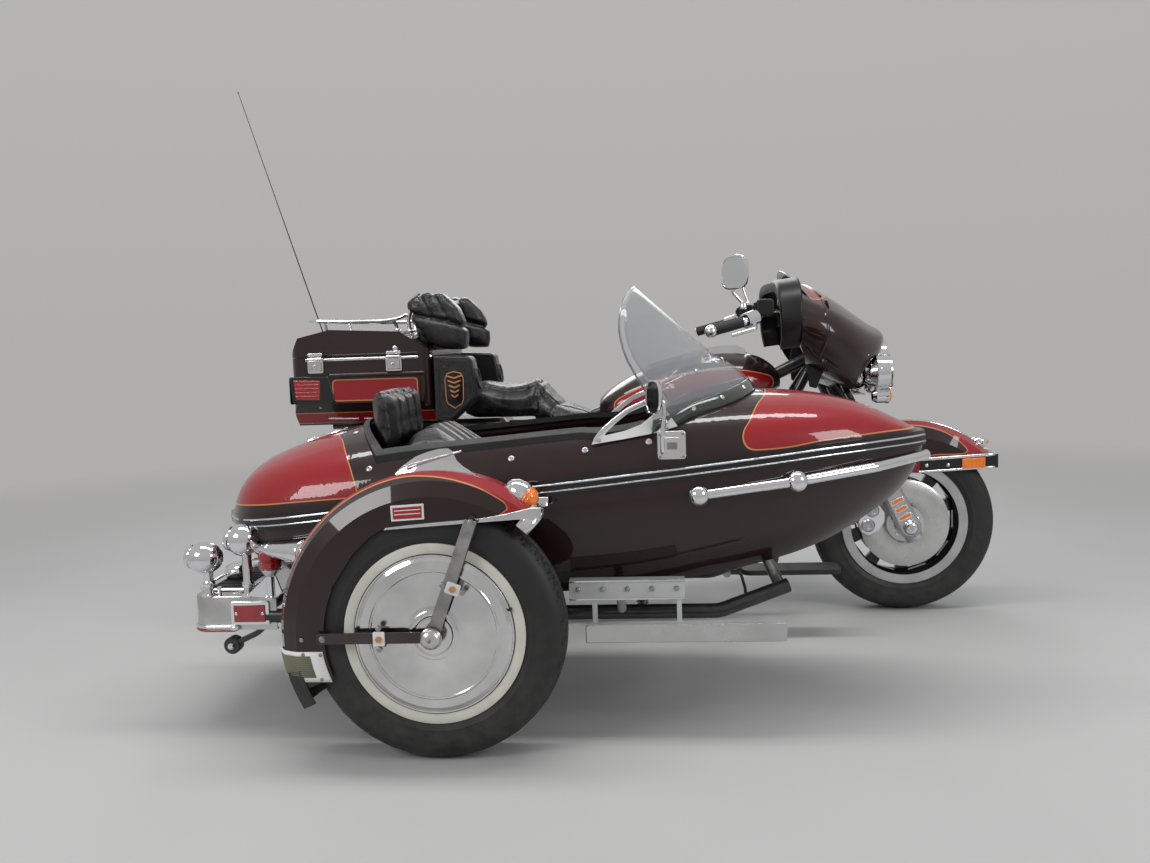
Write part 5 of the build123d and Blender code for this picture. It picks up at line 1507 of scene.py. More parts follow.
for label, rise, tall in (("upper", 46, 11), ("lower", 3, 9)):
    path = [Vector(p) for p in band_edge(rise, 1.0)]
    piece(f"fender_rail_{label}", *swept(path, flat_ring(8, tall)), "steering", chrome, sharp=60)
for side, word in SIDES:
    side_plate(f"fender_marker_{word}", [(1784, 501), (1862, 504), (1862, 540), (1784, 536)], side, 91, 97,
               "steering", amber_lens, bevel=2.5)
    for k in range(6):
        x = 1794 + k * 12
        tube(f"fender_marker_rib_{word}_{k}", [(x, side * 97.2, 505), (x, side * 97.2, 534)], 1.0, "steering",
             amber_lens, sides=6)
    for k, x in enumerate((1666, 1738)):
        spun(f"fender_band_screw_{word}_{k}", [(0, 6), (2, 6), (3.4, 4), (3.6, 0)], (x, side * 91.5, 516),
             (0, side, 0), "steering", chrome, steps=16)
fender_skin = surface_of(nodes["front_fender"])
tip_seat = touch(fender_skin, (1862, 0, 800), DOWN)[0] or Vector((1862, 0, 570))
ball("fender_tip_lamp_body", tip_seat + Vector((6, 0, 10)), 20, "steering", chrome, squeeze=(1.45, 1.0, 0.85))
ball("fender_tip_lamp_lens", tip_seat + Vector((24, 0, 9)), 14, "steering", amber_lens,
     squeeze=(1.1, 0.9, 0.8))
foot_shape = ((0, 0), (0.2, 0.8), (0.6, 1), (1, 0.7), (1.1, 0), (1, -0.7), (0.6, -1), (0.2, -0.8))
loft("fender_tip_lamp_foot", [[(tip_seat.x - 34 + 58 * a, tip_seat.y + b * 22,
                                tip_seat.z + 13 - 20 * a + rise) for a, b in foot_shape] for rise in (-8, 4)],
     "steering", chrome, bevel=2)
crest = laid(fender_skin, [((1640 + 13 * i, 0, 900), DOWN) for i in range(16)])
half_round("front_fender_crest", *crest, 12, 5, "steering", chrome)
for side, word in SIDES:
    for k, line in enumerate(from_side(side, ((1600, 452), (1545, 405), (1596, 560)), 200)):
        stud(f"fender_bolt_{word}_{k}", fender_skin, *line, [(0, 9), (2, 9), (2.4, 7), (6, 7), (7, 5)],
             "steering", chrome, steps=16)

# Fork legs: shrouds, collars, amber slots low on the sliders, axle caps, calipers and discs
rake_sin, rake_cos = math.sin(rake), math.cos(rake)


def leg(y, up, ahead=0.0):
    """A place at a distance up a fork leg from the axle, and one ahead of it."""
    return Vector((wheelbase - up * rake_sin + ahead * rake_cos, y,
                   tyre_radius + up * rake_cos + ahead * rake_sin))


leg_line = Vector((-rake_sin, 0, rake_cos))
across_leg = Vector((rake_cos, 0, rake_sin))
slot_parts = (("slot", 21, 5.5, 5.4, (-1, 1.8), amber_lens), ("slot_frame", 25, 9, 8.5, (-1.5, 0.5), chrome))
for side, word in SIDES:
    y = side * 114
    spun(f"fork_shroud_{word}", [(338, 33), (342, 35.5), (352, 36), (545, 34), (552, 32), (552, 25),
                                 (338, 25)], leg(y, 0), leg_line, "steering", gloss_black, steps=36)
    spun(f"fork_collar_{word}", [(322, 31), (326, 34), (334, 34), (338, 31)], leg(y, 0), leg_line, "steering",
         chrome, steps=36)
    spun(f"fork_cap_{word}", [(786, 25), (790, 25), (794, 20), (800, 19), (806, 15), (806, 0)], leg(y, 0),
         leg_line, "steering", chrome, steps=24)
    for k, up in enumerate((42, 72, 102)):
        middle = leg(side * 152.6, up)
        for label, wide, tall, corner, depths, coating in slot_parts:
            flat = rounded_outline((-wide, -tall), (wide, tall), corner, 4)
            outline = [middle + across_leg * a + leg_line * b for a, b in flat]
            rings = [[p + Vector((0, side * d, 0)) for p in outline] for d in depths]
            loft(f"fork_{label}_{word}_{k}", rings, "steering", coating, bevel=1)
    spun(f"axle_cap_{word}", [(0, 26), (6, 26), (9, 23), (14, 22), (19, 17), (21, 9), (21.5, 0)],
         (wheelbase, side * 150, tyre_radius), (0, side, 0), "steering", chrome, steps=36)
    spun(f"axle_cap_bolt_{word}", [(0, 8), (6, 8), (6, 0)], (wheelbase, side * 169, tyre_radius),
         (0, side, 0), "steering", satin_alloy, steps=6)
    body_outline = [leg(0, up, ahead) for up, ahead in ((28, -138), (52, -155), (94, -150), (126, -116),
                                                        (140, -80), (126, -54), (82, -46), (50, -62),
                                                        (28, -98))]
    side_plate(f"brake_caliper_{word}", [(p.x, p.z) for p in body_outline], side, 76, 132, "steering", chrome,
               bevel=9)
    caliper_face = side * 131
    for k, (up, ahead) in enumerate(((66, -122), (106, -86))):
        place = leg(caliper_face, up, ahead)
        spun(f"caliper_pot_{word}_{k}", [(0, 23), (5, 23), (9, 19), (9.5, 12), (7, 10), (7, 0)], place,
             (0, side, 0), "steering", satin_alloy, steps=28)
    spun(f"caliper_bolt_{word}", [(0, 8), (5, 8), (6, 5)], leg(caliper_face, 126, -68), (0, side, 0),
         "steering", steel, steps=6)
    spun(f"front_disc_ring_{word}", [(0, 60), (2.5, 64), (2.5, 146), (0, 150.5), (-3, 150.5), (-3, 60),
                                     (0, 60)], (wheelbase, side * 68.5, tyre_radius), (0, side, 0),
         "front_wheel", honed, steps=72)
    for k in range(5):
        turn = 2 * math.pi * k / 5 + 0.3
        spun(f"front_cover_bolt_{word}_{k}", [(0, 7), (3, 7), (5, 5), (5.4, 0)],
             (wheelbase + 46 * math.cos(turn), side * 71, tyre_radius + 46 * math.sin(turn)), (0, side, 0),
             "front_wheel", chrome, steps=16)

# Lamps: a ribbed lens in each, with a bright rim and a bright bowl

def lamp_glass(name, centre, radius, bulge, body):
    """A lamp's domed and fluted glass over a bright bowl."""
    outline = [(0, radius)]
    for i in range(1, 13):
        share = i / 12
        outline.append((bulge * (1 - (1 - share) ** 2), radius * (1 - share)))
    spun(name + "_bowl", [(-4, radius), (-3, radius * 0.98), (-14, radius * 0.55), (-16, 0)], centre,
         AHEAD, body, lamp_silver, steps=48)
    spun(name + "_glass", outline, centre, AHEAD, body, clear_lens, steps=48)
    spun(name + "_rim", [(-7, radius - 1), (-8, radius + 6), (-2, radius + 9), (3, radius + 6), (4, radius),
                         (1, radius - 2)], centre, AHEAD, body, chrome, steps=56)
    spun(name + "_bulb", [(-10, 11), (2, 11), (5, 7), (6, 0)], centre, AHEAD, body, chrome, steps=20)
    for k in range(-3, 4):
        y = centre[1] + k * radius * 0.24
        reach = math.sqrt(max(0.0, radius * radius - (k * radius * 0.24) ** 2)) * 0.9
        rise = [(centre[0] + bulge * (1 - ((k * 0.24) ** 2 + (t * reach / radius) ** 2)) * 0.92 + 0.6, y,
                 centre[2] + t * reach) for t in (-1, -0.7, -0.35, 0, 0.35, 0.7, 1)]
        tube(f"{name}_flute_{k + 3}", rise, 1.3, body, clear_lens, bend=8, sides=6)


headlamp_z, side_lamp_y, side_lamp_z, signal_z = 868, 205, 846, 768
lamp_glass("headlamp", (1534, 0, headlamp_z), 78, 13, "steering")
for side, word in SIDES:
    lamp_glass(f"passing_lamp_{word}", (1520, side * side_lamp_y, side_lamp_z), 50, 9, "steering")
    spun(f"passing_lamp_ring_{word}", [(1470, 57), (1471, 59.5), (1477, 60.5), (1483, 59.5), (1484, 57)],
         (0, side * side_lamp_y, side_lamp_z), AHEAD, "steering", chrome, steps=48)
    spun(f"passing_lamp_neck_{word}", [(1436, 16), (1440, 27), (1446, 29), (1452, 34), (1454, 46), (1449, 44),
                                       (1436, 30)], (0, side * side_lamp_y, side_lamp_z), AHEAD, "steering",
         chrome, steps=36)
    spun(f"front_signal_glass_{word}", [(1512, 22), (1516, 22), (1522, 17), (1525, 9), (1526, 0)],
         (0, side * side_lamp_y, signal_z), AHEAD, "steering", amber_lens, steps=28)
    spun(f"front_signal_rim_{word}", [(1504, 25), (1512, 26.5), (1515, 25), (1515, 21), (1504, 21)],
         (0, side * side_lamp_y, signal_z), AHEAD, "steering", chrome, steps=28)
spun("headlamp_trim", [(1468, 90), (1470, 96), (1480, 97), (1536, 94), (1542, 89), (1543, 84), (1520, 86)],
     (0, 0, headlamp_z), AHEAD, "steering", chrome, steps=64)
plate("passing_lamp_bracket", [(1485, -178), (1508, -178), (1512, 0), (1508, 178), (1485, 178), (1478, 0)],
      786, 792, "steering", chrome, plane="z", bevel=2)

# Fairing: a black inner lip, the crease along its shoulder, two screws on each side and the vent's lip
fairing_skin = surface_of(nodes["fairing"])
lip_rows = []
for grow, back in ((0, 0), (-1, 6), (-3, 50), (-6, 57), (-12, 60), (-40, 58)):
    row = []
    for i in range(37):
        share = i / 36
        turn = math.radians(-38 + 256 * share)
        half, low, top = 372 + grow, 905, 1172 + grow
        c, s = math.cos(turn), math.sin(turn)
        middle = 1010
        z = middle + (top - middle) * abs(s) ** 0.62 if s > 0 else middle - (middle - low) * abs(s) ** 0.8
        y = half * math.copysign(abs(c) ** 0.42, c) * (1 if s > 0 else 1 - 0.25 * abs(s))
        tilt_back = (z - 905) * 0.06
        row.append((1217 - back - tilt_back * (back / 58), y, z - back * 0.10))
    lip_rows.append(row)
lip = loft("fairing_inner_lip", lip_rows, "steering", plastic_black, closed=False, caps=False, sharp=40)
thicken(lip, 4, -1)
for side, word in SIDES:
    marks = [(1294, 254, 1089), (1296, 300, 1068), (1293, 346, 1039), (1297, 360, 1008), (1296, 363, 976),
             (1285, 345, 940), (1271, 309, 896)]
    lines = []
    for a, b in zip(marks, marks[1:]):
        for i in range(5):
            place = Vector(a).lerp(Vector(b), i / 5)
            start = Vector((place.x, side * (place.y + 160), place.z + 60))
            aim = (Vector((place.x, side * place.y, place.z)) - start).normalized()
            lines.append((start, aim))
    half_round(f"fairing_crease_{word}", *laid(fairing_skin, lines), 12, 3.2, "steering", dark_paint)
    for k, line in enumerate(from_side(side, ((1222, 1032), (1300, 860)), 700)):
        stud(f"fairing_screw_{word}_{k}", fairing_skin, *line,
             [(0, 6), (1.5, 6), (3, 4.4), (3.2, 2), (2.4, 1.6), (2.4, 0)], "steering", plastic_black,
             steps=18)
vent_lines = [((1262 + abs(y) * 0.14, y, 1500), DOWN) for y in range(-220, 221, 22)]
half_round("fairing_vent_lip", *laid(fairing_skin, vent_lines), 10, 4.5, "steering", gloss_black)

# A low smoked wind deflector on the fairing's top edge
deflector = []
for i in range(25):
    y = -300 + 25 * i
    hit, normal = touch(fairing_skin, (1240 + abs(y) * 0.05, y, 1500), DOWN)
    if hit is None:
        continue
    fall = 1 - (abs(y) / 300) ** 3
    deflector.append([tuple(hit + Vector((-52 * t * fall - 4 * t, 0, -2 + 40 * t * fall + 5 * t)))
                      for t in (0, 0.25, 0.5, 0.75, 1.0)])
wind = loft("wind_deflector", deflector, "steering", gloss_black, closed=False, caps=False, sharp=60)
thicken(wind, 4, -1)

# Inner fairing: its panel, dials, speakers, radio, switches, brackets and lower panels
panel_rows = []
for x, half, low, high in ((1322, 318, 930, 1092), (1318, 312, 936, 1088), (1316, 300, 944, 1080)):
    panel_rows.append([(x - (z - 940) * 0.10, y, z)
                       for y, z in rounded_outline((-half, low), (half, high), 60, 8)])
loft("dash_panel", panel_rows, "steering", plastic_black, bevel=3)
view_back = Vector((-0.985, 0, 0.17)).normalized()


def dial(name, y, z, radius, marks_shown):
    """A round instrument: bezel, face, tick marks, needle and hub."""
    centre = Vector((1316 - (z - 940) * 0.10, y, z))
    spun(name + "_bezel", [(-8, radius + 5), (6, radius + 5), (10, radius + 2), (9, radius - 1),
                           (2, radius - 2), (-8, radius - 2)], centre, view_back, "steering", chrome,
         steps=40)
    spun(name + "_face", [(-2, radius - 1), (2.4, radius - 1), (2.4, 0)], centre, view_back, "steering",
         plastic_black, steps=32)
    along, first, second = axes_of(view_back)
    points, faces = [], []
    for i in range(marks_shown):
        turn = math.radians(-140 + 280 * i / (marks_shown - 1)) + math.pi / 2
        out = first * math.cos(turn) + second * math.sin(turn)
        side = along.cross(out).normalized()
        near, far = radius * (0.70 if i % 2 == 0 else 0.78), radius * 0.88
        base = len(points)
        for reach, way in ((near, -1), (near, 1), (far, 1), (far, -1)):
            points.append(centre + along * 2.9 + out * reach + side * way * radius * 0.022)
        faces.append((base, base + 1, base + 2, base + 3))
    piece(name + "_ticks", points, faces, "steering", dial_face)
    out = (first * -0.6 + second * -0.8).normalized()
    side = along.cross(out)
    tip, tail = centre + along * 3.4 + out * radius * 0.72, centre + along * 3.4 - out * radius * 0.16
    piece(name + "_needle", [tail + side * 1.5, tail - side * 1.5, tip], [(0, 1, 2)], "steering", red_lens)
    spun(name + "_hub", [(2, 4.5), (5, 4.5), (6, 2.5), (6, 0)], centre, view_back, "steering", gloss_black,
         steps=16)


for name, y, z, radius, count in (("speed_dial", 62, 1034, 44, 25), ("rev_dial", -62, 1034, 44, 21),
                                  ("dial_a", 138, 1046, 22, 9), ("dial_b", -138, 1046, 22, 9),
                                  ("dial_c", 138, 994, 22, 9), ("dial_d", -138, 994, 22, 9)):
    dial(name, y, z, radius, count)
for side, word in SIDES:
    centre = Vector((1310, side * 236, 1010))
    grid = [(4 + (1.5 if i % 2 else 0), 48 - i * 2.6) for i in range(18)]
    spun(f"dash_speaker_{word}", [(-6, 60), (6, 60), (10, 57), (9, 52), (4, 50)] + grid + [(5, 0)], centre,
         view_back, "steering", plastic_black, steps=44)
plate("radio_box", rounded_outline((-88, 946), (88, 984), 5), 1300, 1318, "steering", gloss_black, plane="x",
      bevel=3)
plate("radio_window", rounded_outline((-46, 956), (46, 974), 2), 1298.6, 1301, "steering", mirror_glass,
      plane="x", bevel=0.6)
for side, word in SIDES:
    spun(f"radio_knob_{word}", [(-4, 11), (2, 11), (4, 9), (12, 8.4), (13, 7), (13, 0)],
         (1301, side * 68, 965), BACK, "steering", chrome, steps=24)
for k in range(7):
    y = -60 + 20 * k
    block(f"dash_switch_{k}", (1290, y - 6, 926), (1306, y + 6, 940), "steering", plastic_black, bevel=2)
for side, word in SIDES:
    tube(f"dash_bracket_{word}", [(1330, side * 92, 960), (1300, side * 100, 900), (1262, side * 104, 850)],
         8, "steering", plastic_black, bend=20)
    guard_outline = [(1252, 806), (1276, 800), (1296, 850), (1286, 925), (1254, 930), (1244, 870)]
    side_plate(f"fairing_lower_{word}", guard_outline, side, 236, 242, "steering", plastic_black, bevel=4)


# Sidecar fender: chrome edge and nose, lamp, ribbed rear trim, plate, ornament, and the strut's clamps

def on_fender(z, radius, across):
    """A place on the back of the sidecar fender at a height, a radius from the axle and a side offset."""
    return (sidecar_x - math.sqrt(max(0.0, radius * radius - (z - tyre_radius) ** 2)), sidecar_y + across, z)


def fender_section(grow, low=268.0):
    """The fender's outline over its crown, as (radius, side offset), a little proud of it."""
    r, h = 384 + grow, 76 + grow
    half = [(low, -h), (300, -h), (r - 54, -h), (r - 36, -h + 8), (r - 18.7, -h + 17), (r - 6, -42), (r, -23),
            (r, 0)]
    return half + [(a, -b) for a, b in reversed(half[:-1])]


def wrapped(name, heights, section, thick, finish):
    """A skin over the back of the fender between heights, with its thickness."""
    rings = [[on_fender(z, r, y) for r, y in section] for z in heights]
    thicken(loft(name, rings, "chassis", finish, closed=False, caps=False, sharp=50), thick)


wrapped("fender_trim_frame", (277, 266, 250, 232, 214, 204), fender_section(1.4, 269), 3.0, white_paint)
rib_section = fender_section(3.0, 285)[1:-1]
for i in range(11):
    z = 218 + i * 4.6
    wrapped(f"fender_trim_rib_{i}", [z, z + 1.2, z + 2.4], rib_section, 3.0, olive_rubber)
wrapped("fender_trim_field", [215, 240, 267], rib_section, 1.6, olive_rubber)
for k, (x, z) in enumerate(((-97, 271), (-54, 270), (-54, 210), (-99, 306))):
    spun(f"fender_trim_screw_{k}", [(0, 5), (1.6, 5), (3, 3.4), (3.2, 0)], (x, -1390.4, z), RIGHT,
         "chassis", steel, steps=16)


def at_turn(turn, radius, across):
    """A place on the sidecar fender at an angle from ahead, in degrees."""
    turn = math.radians(turn)
    return (sidecar_x + radius * math.cos(turn), sidecar_y + across, tyre_radius + radius * math.sin(turn))


nose_section = [(r, y) for r, y in fender_section(1.6, 372) if r >= 330]
rings = [[at_turn(turn, r, y) for r, y in nose_section] for turn in (45.7, 47.5, 49.5, 51.5)]
thicken(loft("fender_nose_band", rings, "chassis", chrome, closed=False, caps=False, sharp=50), 3, -1)
for side, word in NEAR_FAR:
    face = sidecar_y + side * 76
    low, high = sorted((face - side * 1, face + side * 4.5))
    bottom = [(112, 566), (165, 569.5), (239, 574), (349, 580.5), (440, 586), (482, 588.5)]
    top = [(484, 612), (462, 612), (440, 608), (400, 599), (349, 591), (300, 587), (239, 583), (165, 577),
           (117, 572)]
    plate(f"fender_chrome_edge_{word}", bottom + top, low, high, "chassis", chrome, bevel=2.2)
fender_lamp = (420, sidecar_y, 638)
lamp_aim = (math.cos(math.radians(-31)), -0.25, math.sin(math.radians(-31)))
lamp_body = [(-34, 0), (-32, 12), (-24, 22), (-10, 30), (8, 33), (20, 32), (24, 28), (24, 0)]
spun("fender_lamp_body", lamp_body, fender_lamp, lamp_aim, "chassis", chrome, steps=40)
lens_outline = [(24, 28), (30, 28.5), (40, 25), (49, 18), (54, 9), (55.5, 0)]
spun("fender_lamp_lens", lens_outline, fender_lamp, lamp_aim, "chassis", amber_lens, steps=40)
for k in range(3):
    spun(f"fender_lamp_rib_{k}", [(28 + 8 * k, 29.4 - 2.6 * k * k), (30 + 8 * k, 30 - 2.6 * k * k),
                                  (32 + 8 * k, 28.6 - 2.6 * k * k)], fender_lamp, lamp_aim,
         "chassis", amber_lens, steps=40)

# A plain enamel plate where the real one carries its badge
plate("fender_badge_frame", [(132, 586), (210, 590), (210, 627), (131, 623)], -1391.5, -1388.5, "chassis",
      white_paint, bevel=1.2)
plate("fender_badge_field", [(137, 591), (205, 594), (205, 622), (136, 618)], -1392.8, -1391, "chassis",
      red_lens, bevel=0.8)
for k in range(2):
    z = 601 + 9 * k
    plate(f"fender_badge_bar_{k}", [(140, z), (202, z + 3), (202, z + 5), (140, z + 2)], -1393.6, -1392.4,
          "chassis", white_paint, bevel=0.4)

# A plain swept fin on the fender's crown
fin_line = [(128, 690, 691, 3), (141, 690, 703, 8), (160, 692, 716, 12), (178, 692, 728, 14),
            (205, 694, 738, 15), (234, 694, 745, 14), (256, 692, 746, 12), (268, 690, 738, 12),
            (277, 688, 716, 13), (292, 684, 702, 12), (304, 680, 694, 8), (316, 676, 684, 3)]
rings = []
for x, low, high, half in fin_line:
    ring = []
    for a, b in ((-1, 0), (-0.86, 0.16), (-0.52, 0.42), (-0.40, 0.5), (-0.22, 0.78), (-0.08, 1), (0.08, 1),
                 (0.22, 0.78), (0.40, 0.5), (0.52, 0.42), (0.86, 0.16), (1, 0)):
        ring.append((x, sidecar_y + a * half, low - 8 + (high - low + 8) * b))
    rings.append(ring)
loft("fender_fin", rings, "chassis", chrome, sharp=25)
for side, word in NEAR_FAR:
    for k in range(4):
        start, rise = 150 + 26 * k, 0.25 + 0.13 * k
        line = [(start + t, sidecar_y + side * (14.2 - 6.5 * (rise + t / 300)),
                 694 + (rise + t / 220) * 48) for t in (0, 18, 38, 60)]
        tube(f"fender_fin_rib_{k}_{word}", line, 2.4, "chassis", chrome, bend=14, sides=8)

# Strut: a steel sleeve, white clamps with bolts, and the alloy cap over the axle's end
fender_half, strut_gap, strut_thick = 76, 8, 5
strut_face = sidecar_y - fender_half - strut_gap - strut_thick
plate("strut_sleeve", [(208, 332), (306, 590), (335, 584), (236, 318)], strut_face - 1.6, strut_face + 0.5,
      "chassis", steel, bevel=1)
clamp_places = ((92, 311, 0.0), (272, 428, math.radians(69)))
for k, (x, z, turn) in enumerate(clamp_places):
    c, s = math.cos(turn), math.sin(turn)
    outline = [(x + a * c - b * s, z + a * s + b * c) for a, b in rounded_outline((-14, -17), (14, 17), 4)]
    plate(f"strut_clamp_{k}", outline, strut_face - 5, strut_face + 1, "chassis", white_paint, bevel=1.5)
    spun(f"strut_clamp_nut_{k}", [(0, 8), (5, 8), (6, 6)], (x, strut_face - 5, z), RIGHT, "chassis",
         gold_trim, steps=6)
    for way in (-1, 1):
        a, b = -way * 25 * s, way * 25 * c
        spun(f"strut_clamp_bolt_{k}_{way + 1}", [(-7, 7), (5, 7), (6, 5)], (x + a, strut_face - 1, z + b),
             RIGHT, "chassis", steel, steps=6)
cap = [(0, 26), (2, 26.5), (6, 25.5), (12, 23), (17, 18), (20.5, 11), (21.5, 4), (21.5, 0)]
spun("axle_end_cap", cap, (sidecar_x, strut_face - 8, tyre_radius), RIGHT, "chassis", honed, steps=40)
spun("axle_end_cap_bolt", [(0, 5), (3, 5), (4, 3)], (sidecar_x, strut_face - 29, tyre_radius), RIGHT,
     "chassis", steel, steps=6)
for k, (x, z) in enumerate(((-44, 311), (320, 583))):
    spun(f"strut_end_bolt_{k}", [(0, 9), (2, 9), (2, 7), (6, 7), (7, 5)], (x, strut_face - 0.5, z),
         RIGHT, "chassis", steel, steps=6)

# Sidecar wheel: rings pressed in the cover, and the valve
for label, outline in (("outer", [(-66.4, 150), (-68, 152), (-68, 155), (-66.4, 157)]),
                       ("inner", [(-68.2, 44), (-70.4, 48), (-70.2, 56), (-67.6, 60)])):
    wheel_ring(f"cover_pressing_{label}", side_centre, outline, "sidecar_wheel", polished)
tube("sidecar_valve", [(sidecar_x + 186, sidecar_y - 61, tyre_radius + 60),
                       (sidecar_x + 180, sidecar_y - 68, tyre_radius + 58)], 3.4, "sidecar_wheel", rubber)

# Rear bumper: a channel with round corners, a flange, a rail on posts, mouldings and a reflector
near_y, far_y, back_x, front_x = -1100.0, -680.0, -502.0, -268.0


def round_the_back(out, z, x_end=front_x):
    """A path along the bumper's near side, round its back and along its far side."""
    radius, steps = 46 + out, 8
    path = [Vector((x_end, near_y - out, z)), Vector((x_end - 60, near_y - out, z))]
    for i in range(steps + 1):
        turn = math.radians(90 * i / steps)
        path.append(Vector((back_x - out + radius - radius * math.sin(turn),
                            near_y - out + radius - radius * math.cos(turn), z)))
    path += [Vector((p.x, near_y + far_y - p.y, p.z)) for p in reversed(path)]
    return path


rings = []
for out, z in ((0, 250), (0, 336), (-2, 341), (-6, 342), (-30, 342), (-30, 339), (-6, 339), (-4, 334),
               (-4, 256), (-14, 254), (-14, 250)):
    rings.append([tuple(p) for p in round_the_back(out, z)])
columns = [[rings[k][i] for k in range(len(rings))] for i in range(len(rings[0]))]
made = loft("bumper_channel", columns, "chassis", honed, sharp=40, bevel=0.8)
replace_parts(made, "rear_bumper")
plate("bumper_deck", [(-498, near_y + 30), (-380, near_y + 26), (-372, -920), (-372, -860),
                      (-380, far_y - 26), (-498, far_y - 30)], 336, 340.5, "chassis", honed, plane="z",
      bevel=1.5)
plate("bumper_tread", [(-488, near_y + 60), (-396, near_y + 60), (-396, far_y - 60), (-488, far_y - 60)], 340,
      343, "chassis", rubber, plane="z", bevel=1.2)
for i in range(9):
    y = near_y + 80 + i * 32.5
    block(f"bumper_tread_rib_{i}", (-484, y - 4, 342), (-400, y + 4, 345), "chassis", rubber, bevel=1)
for label, z, coating, size in (("chrome", 258, chrome, 5.0), ("red", 249.5, red_lens, 4.2)):
    path = round_the_back(2.5, z, x_end=-385)
    piece(f"bumper_bead_{label}", *swept(path, flat_ring(7, size * 2)), "chassis", coating, sharp=60)
ball("bumper_bead_end", (-383, near_y - 5, 256), 9, "chassis", chrome, squeeze=(1.6, 0.8, 0.9), rings=10)
rail = round_the_back(-14, 357, x_end=-274)
piece("bumper_rail", *swept(rail, circle(4.2, 10)), "chassis", chrome, sharp=60)
for k, (x, y) in enumerate(((-311, near_y), (-427, near_y), (-311, far_y), (-427, far_y), (-488, -1000),
                            (-488, -780))):
    inward = 14 if y < -1050 else (-14 if y > -700 else 0)
    spun(f"bumper_post_{k}", [(339, 9), (342, 9), (344, 5.5), (356, 5.5), (360, 7), (364, 6), (366, 0)],
         (x, y + inward, 0), UP, "chassis", chrome, steps=20)
plate("bumper_reflector_frame", rounded_outline((-392, 264), (-286, 328), 5), near_y - 7, near_y - 0.5,
      "chassis", chrome, bevel=2.5)
plate("bumper_reflector", rounded_outline((-382, 273), (-296, 319), 3), near_y - 10, near_y - 6, "chassis",
      red_lens, bevel=1.5)
for k, x in enumerate((-375, -303)):
    spun(f"bumper_reflector_screw_{k}", [(0, 4), (1.6, 4), (2.6, 2), (2.6, 0)], (x, near_y - 9.8, 296),
         RIGHT, "chassis", chrome, steps=12)
plate("rear_plate_bracket", rounded_outline((-1000, 262), (-780, 330), 8), -507, -503.5, "chassis",
      gloss_black, plane="x", bevel=1.5)
for k, (y, z) in enumerate(((-990, 320), (-790, 320), (-990, 272), (-790, 272))):
    spun(f"rear_plate_bolt_{k}", [(0, 6), (2.4, 6), (3, 4.6)], (-507, y, z), BACK, "chassis", chrome,
         steps=6)

# Ball lamps: chrome shells with red glasses behind, on turned stems
for label, place, size, stem_low in (("near", (-455, near_y, 447), 46, 341),
                                     ("far", (-455, far_y, 447), 46, 341),
                                     ("upper", (-340, -1116, 497), 44, 343)):
    x, y, z = place
    made = ball(f"ball_lamp_{label}", place, size, "chassis", chrome,
                squeeze=(1.0, 0.98, 0.98) if label == "upper" else (1.04, 0.98, 0.92), rings=22)
    spun(f"ball_lamp_ring_{label}", [(size - 15, 28), (size - 10, 32), (size - 4, 31), (size + 1, 27),
                                     (size + 1, 24), (size - 15, 24)], place, (-1, 0, 0.1), "chassis", chrome,
         steps=40)
    spun(f"ball_lamp_glass_{label}", [(size - 6, 27), (size, 26), (size + 4, 20), (size + 7, 11),
                                      (size + 8, 0)], place, (-1, 0, 0.1), "chassis", red_lens, steps=36)
    foot_y = y + (14 if label != "far" else -14)
    spun(f"ball_lamp_stem_{label}", [(stem_low, 20), (stem_low + 4, 20), (stem_low + 8, 13),
                                     (stem_low + 22, 12), (stem_low + 28, 16), (stem_low + 36, 16),
                                     (stem_low + 42, 12), (z - size * 0.8, 13), (z - size * 0.72, 18)],
         (x, foot_y, 0), UP, "chassis", chrome, steps=28)
    if label == "near":
        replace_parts(made, "rear_lamps")
ball("bumper_top_lamp", (-452, -890, 364), 34, "chassis", chrome, squeeze=(1.15, 1.3, 0.78))
spun("bumper_top_lamp_lens", [(28, 24), (32, 22), (36, 14), (38, 0)], (-452, -890, 362), (-1, 0, -0.1),
     "chassis", red_lens, steps=30)
arm_from, arm_to = Vector((-302, -1122, 474)), Vector((-118, -1246, 484))
spun("lamp_arm_cone", [(0, 8), (2, 13), (8, 16), (60, 20), (150, 27), (200, 30), (222, 28), (224, 20)],
     arm_from, arm_to - arm_from, "chassis", chrome, steps=40)
spun("lamp_arm_ring", [(194, 31), (197, 33), (202, 33), (205, 31), (205, 28), (194, 28)], arm_from,
     arm_to - arm_from, "chassis", chrome, steps=40)
ribbed_place = (-262, -1142, 424)
ribbed = [(0, 24), (2, 27), (5, 29), (19, 29), (22, 26), (25, 26), (28, 30), (42, 30), (46, 27), (48, 20),
          (48, 0)]
spun("ribbed_red_lamp", ribbed, ribbed_place, UP, "chassis", red_lens, steps=36)
spun("ribbed_red_lamp_foot", [(-78, 16), (-74, 18), (-70, 12), (-20, 12), (-8, 22), (0, 27), (2, 24)],
     ribbed_place, UP, "chassis", chrome, steps=30)
plate("lamp_bracket", [(-330, 352), (-250, 345), (-232, 362), (-246, 404), (-262, 412), (-300, 380)], -1146,
      -1140, "chassis", chrome, bevel=2)
hitch_y = -1078
strap("hitch_arm", [(-306, hitch_y, 268), (-322, hitch_y, 240), (-398, hitch_y, 206)], 26, 14, "chassis",
      frame_black, bend=16, bevel=3)
spun("hitch_eye", [(-16, 20), (-13, 23), (13, 23), (16, 20), (16, 9), (-16, 9)], (-400, hitch_y, 204),
     LEFT, "chassis", frame_black, steps=32)
spun("hitch_stud", [(0, 9), (6, 9), (9, 6), (10, 0)], (-400, -1094, 204), RIGHT, "chassis", chrome,
     steps=20)


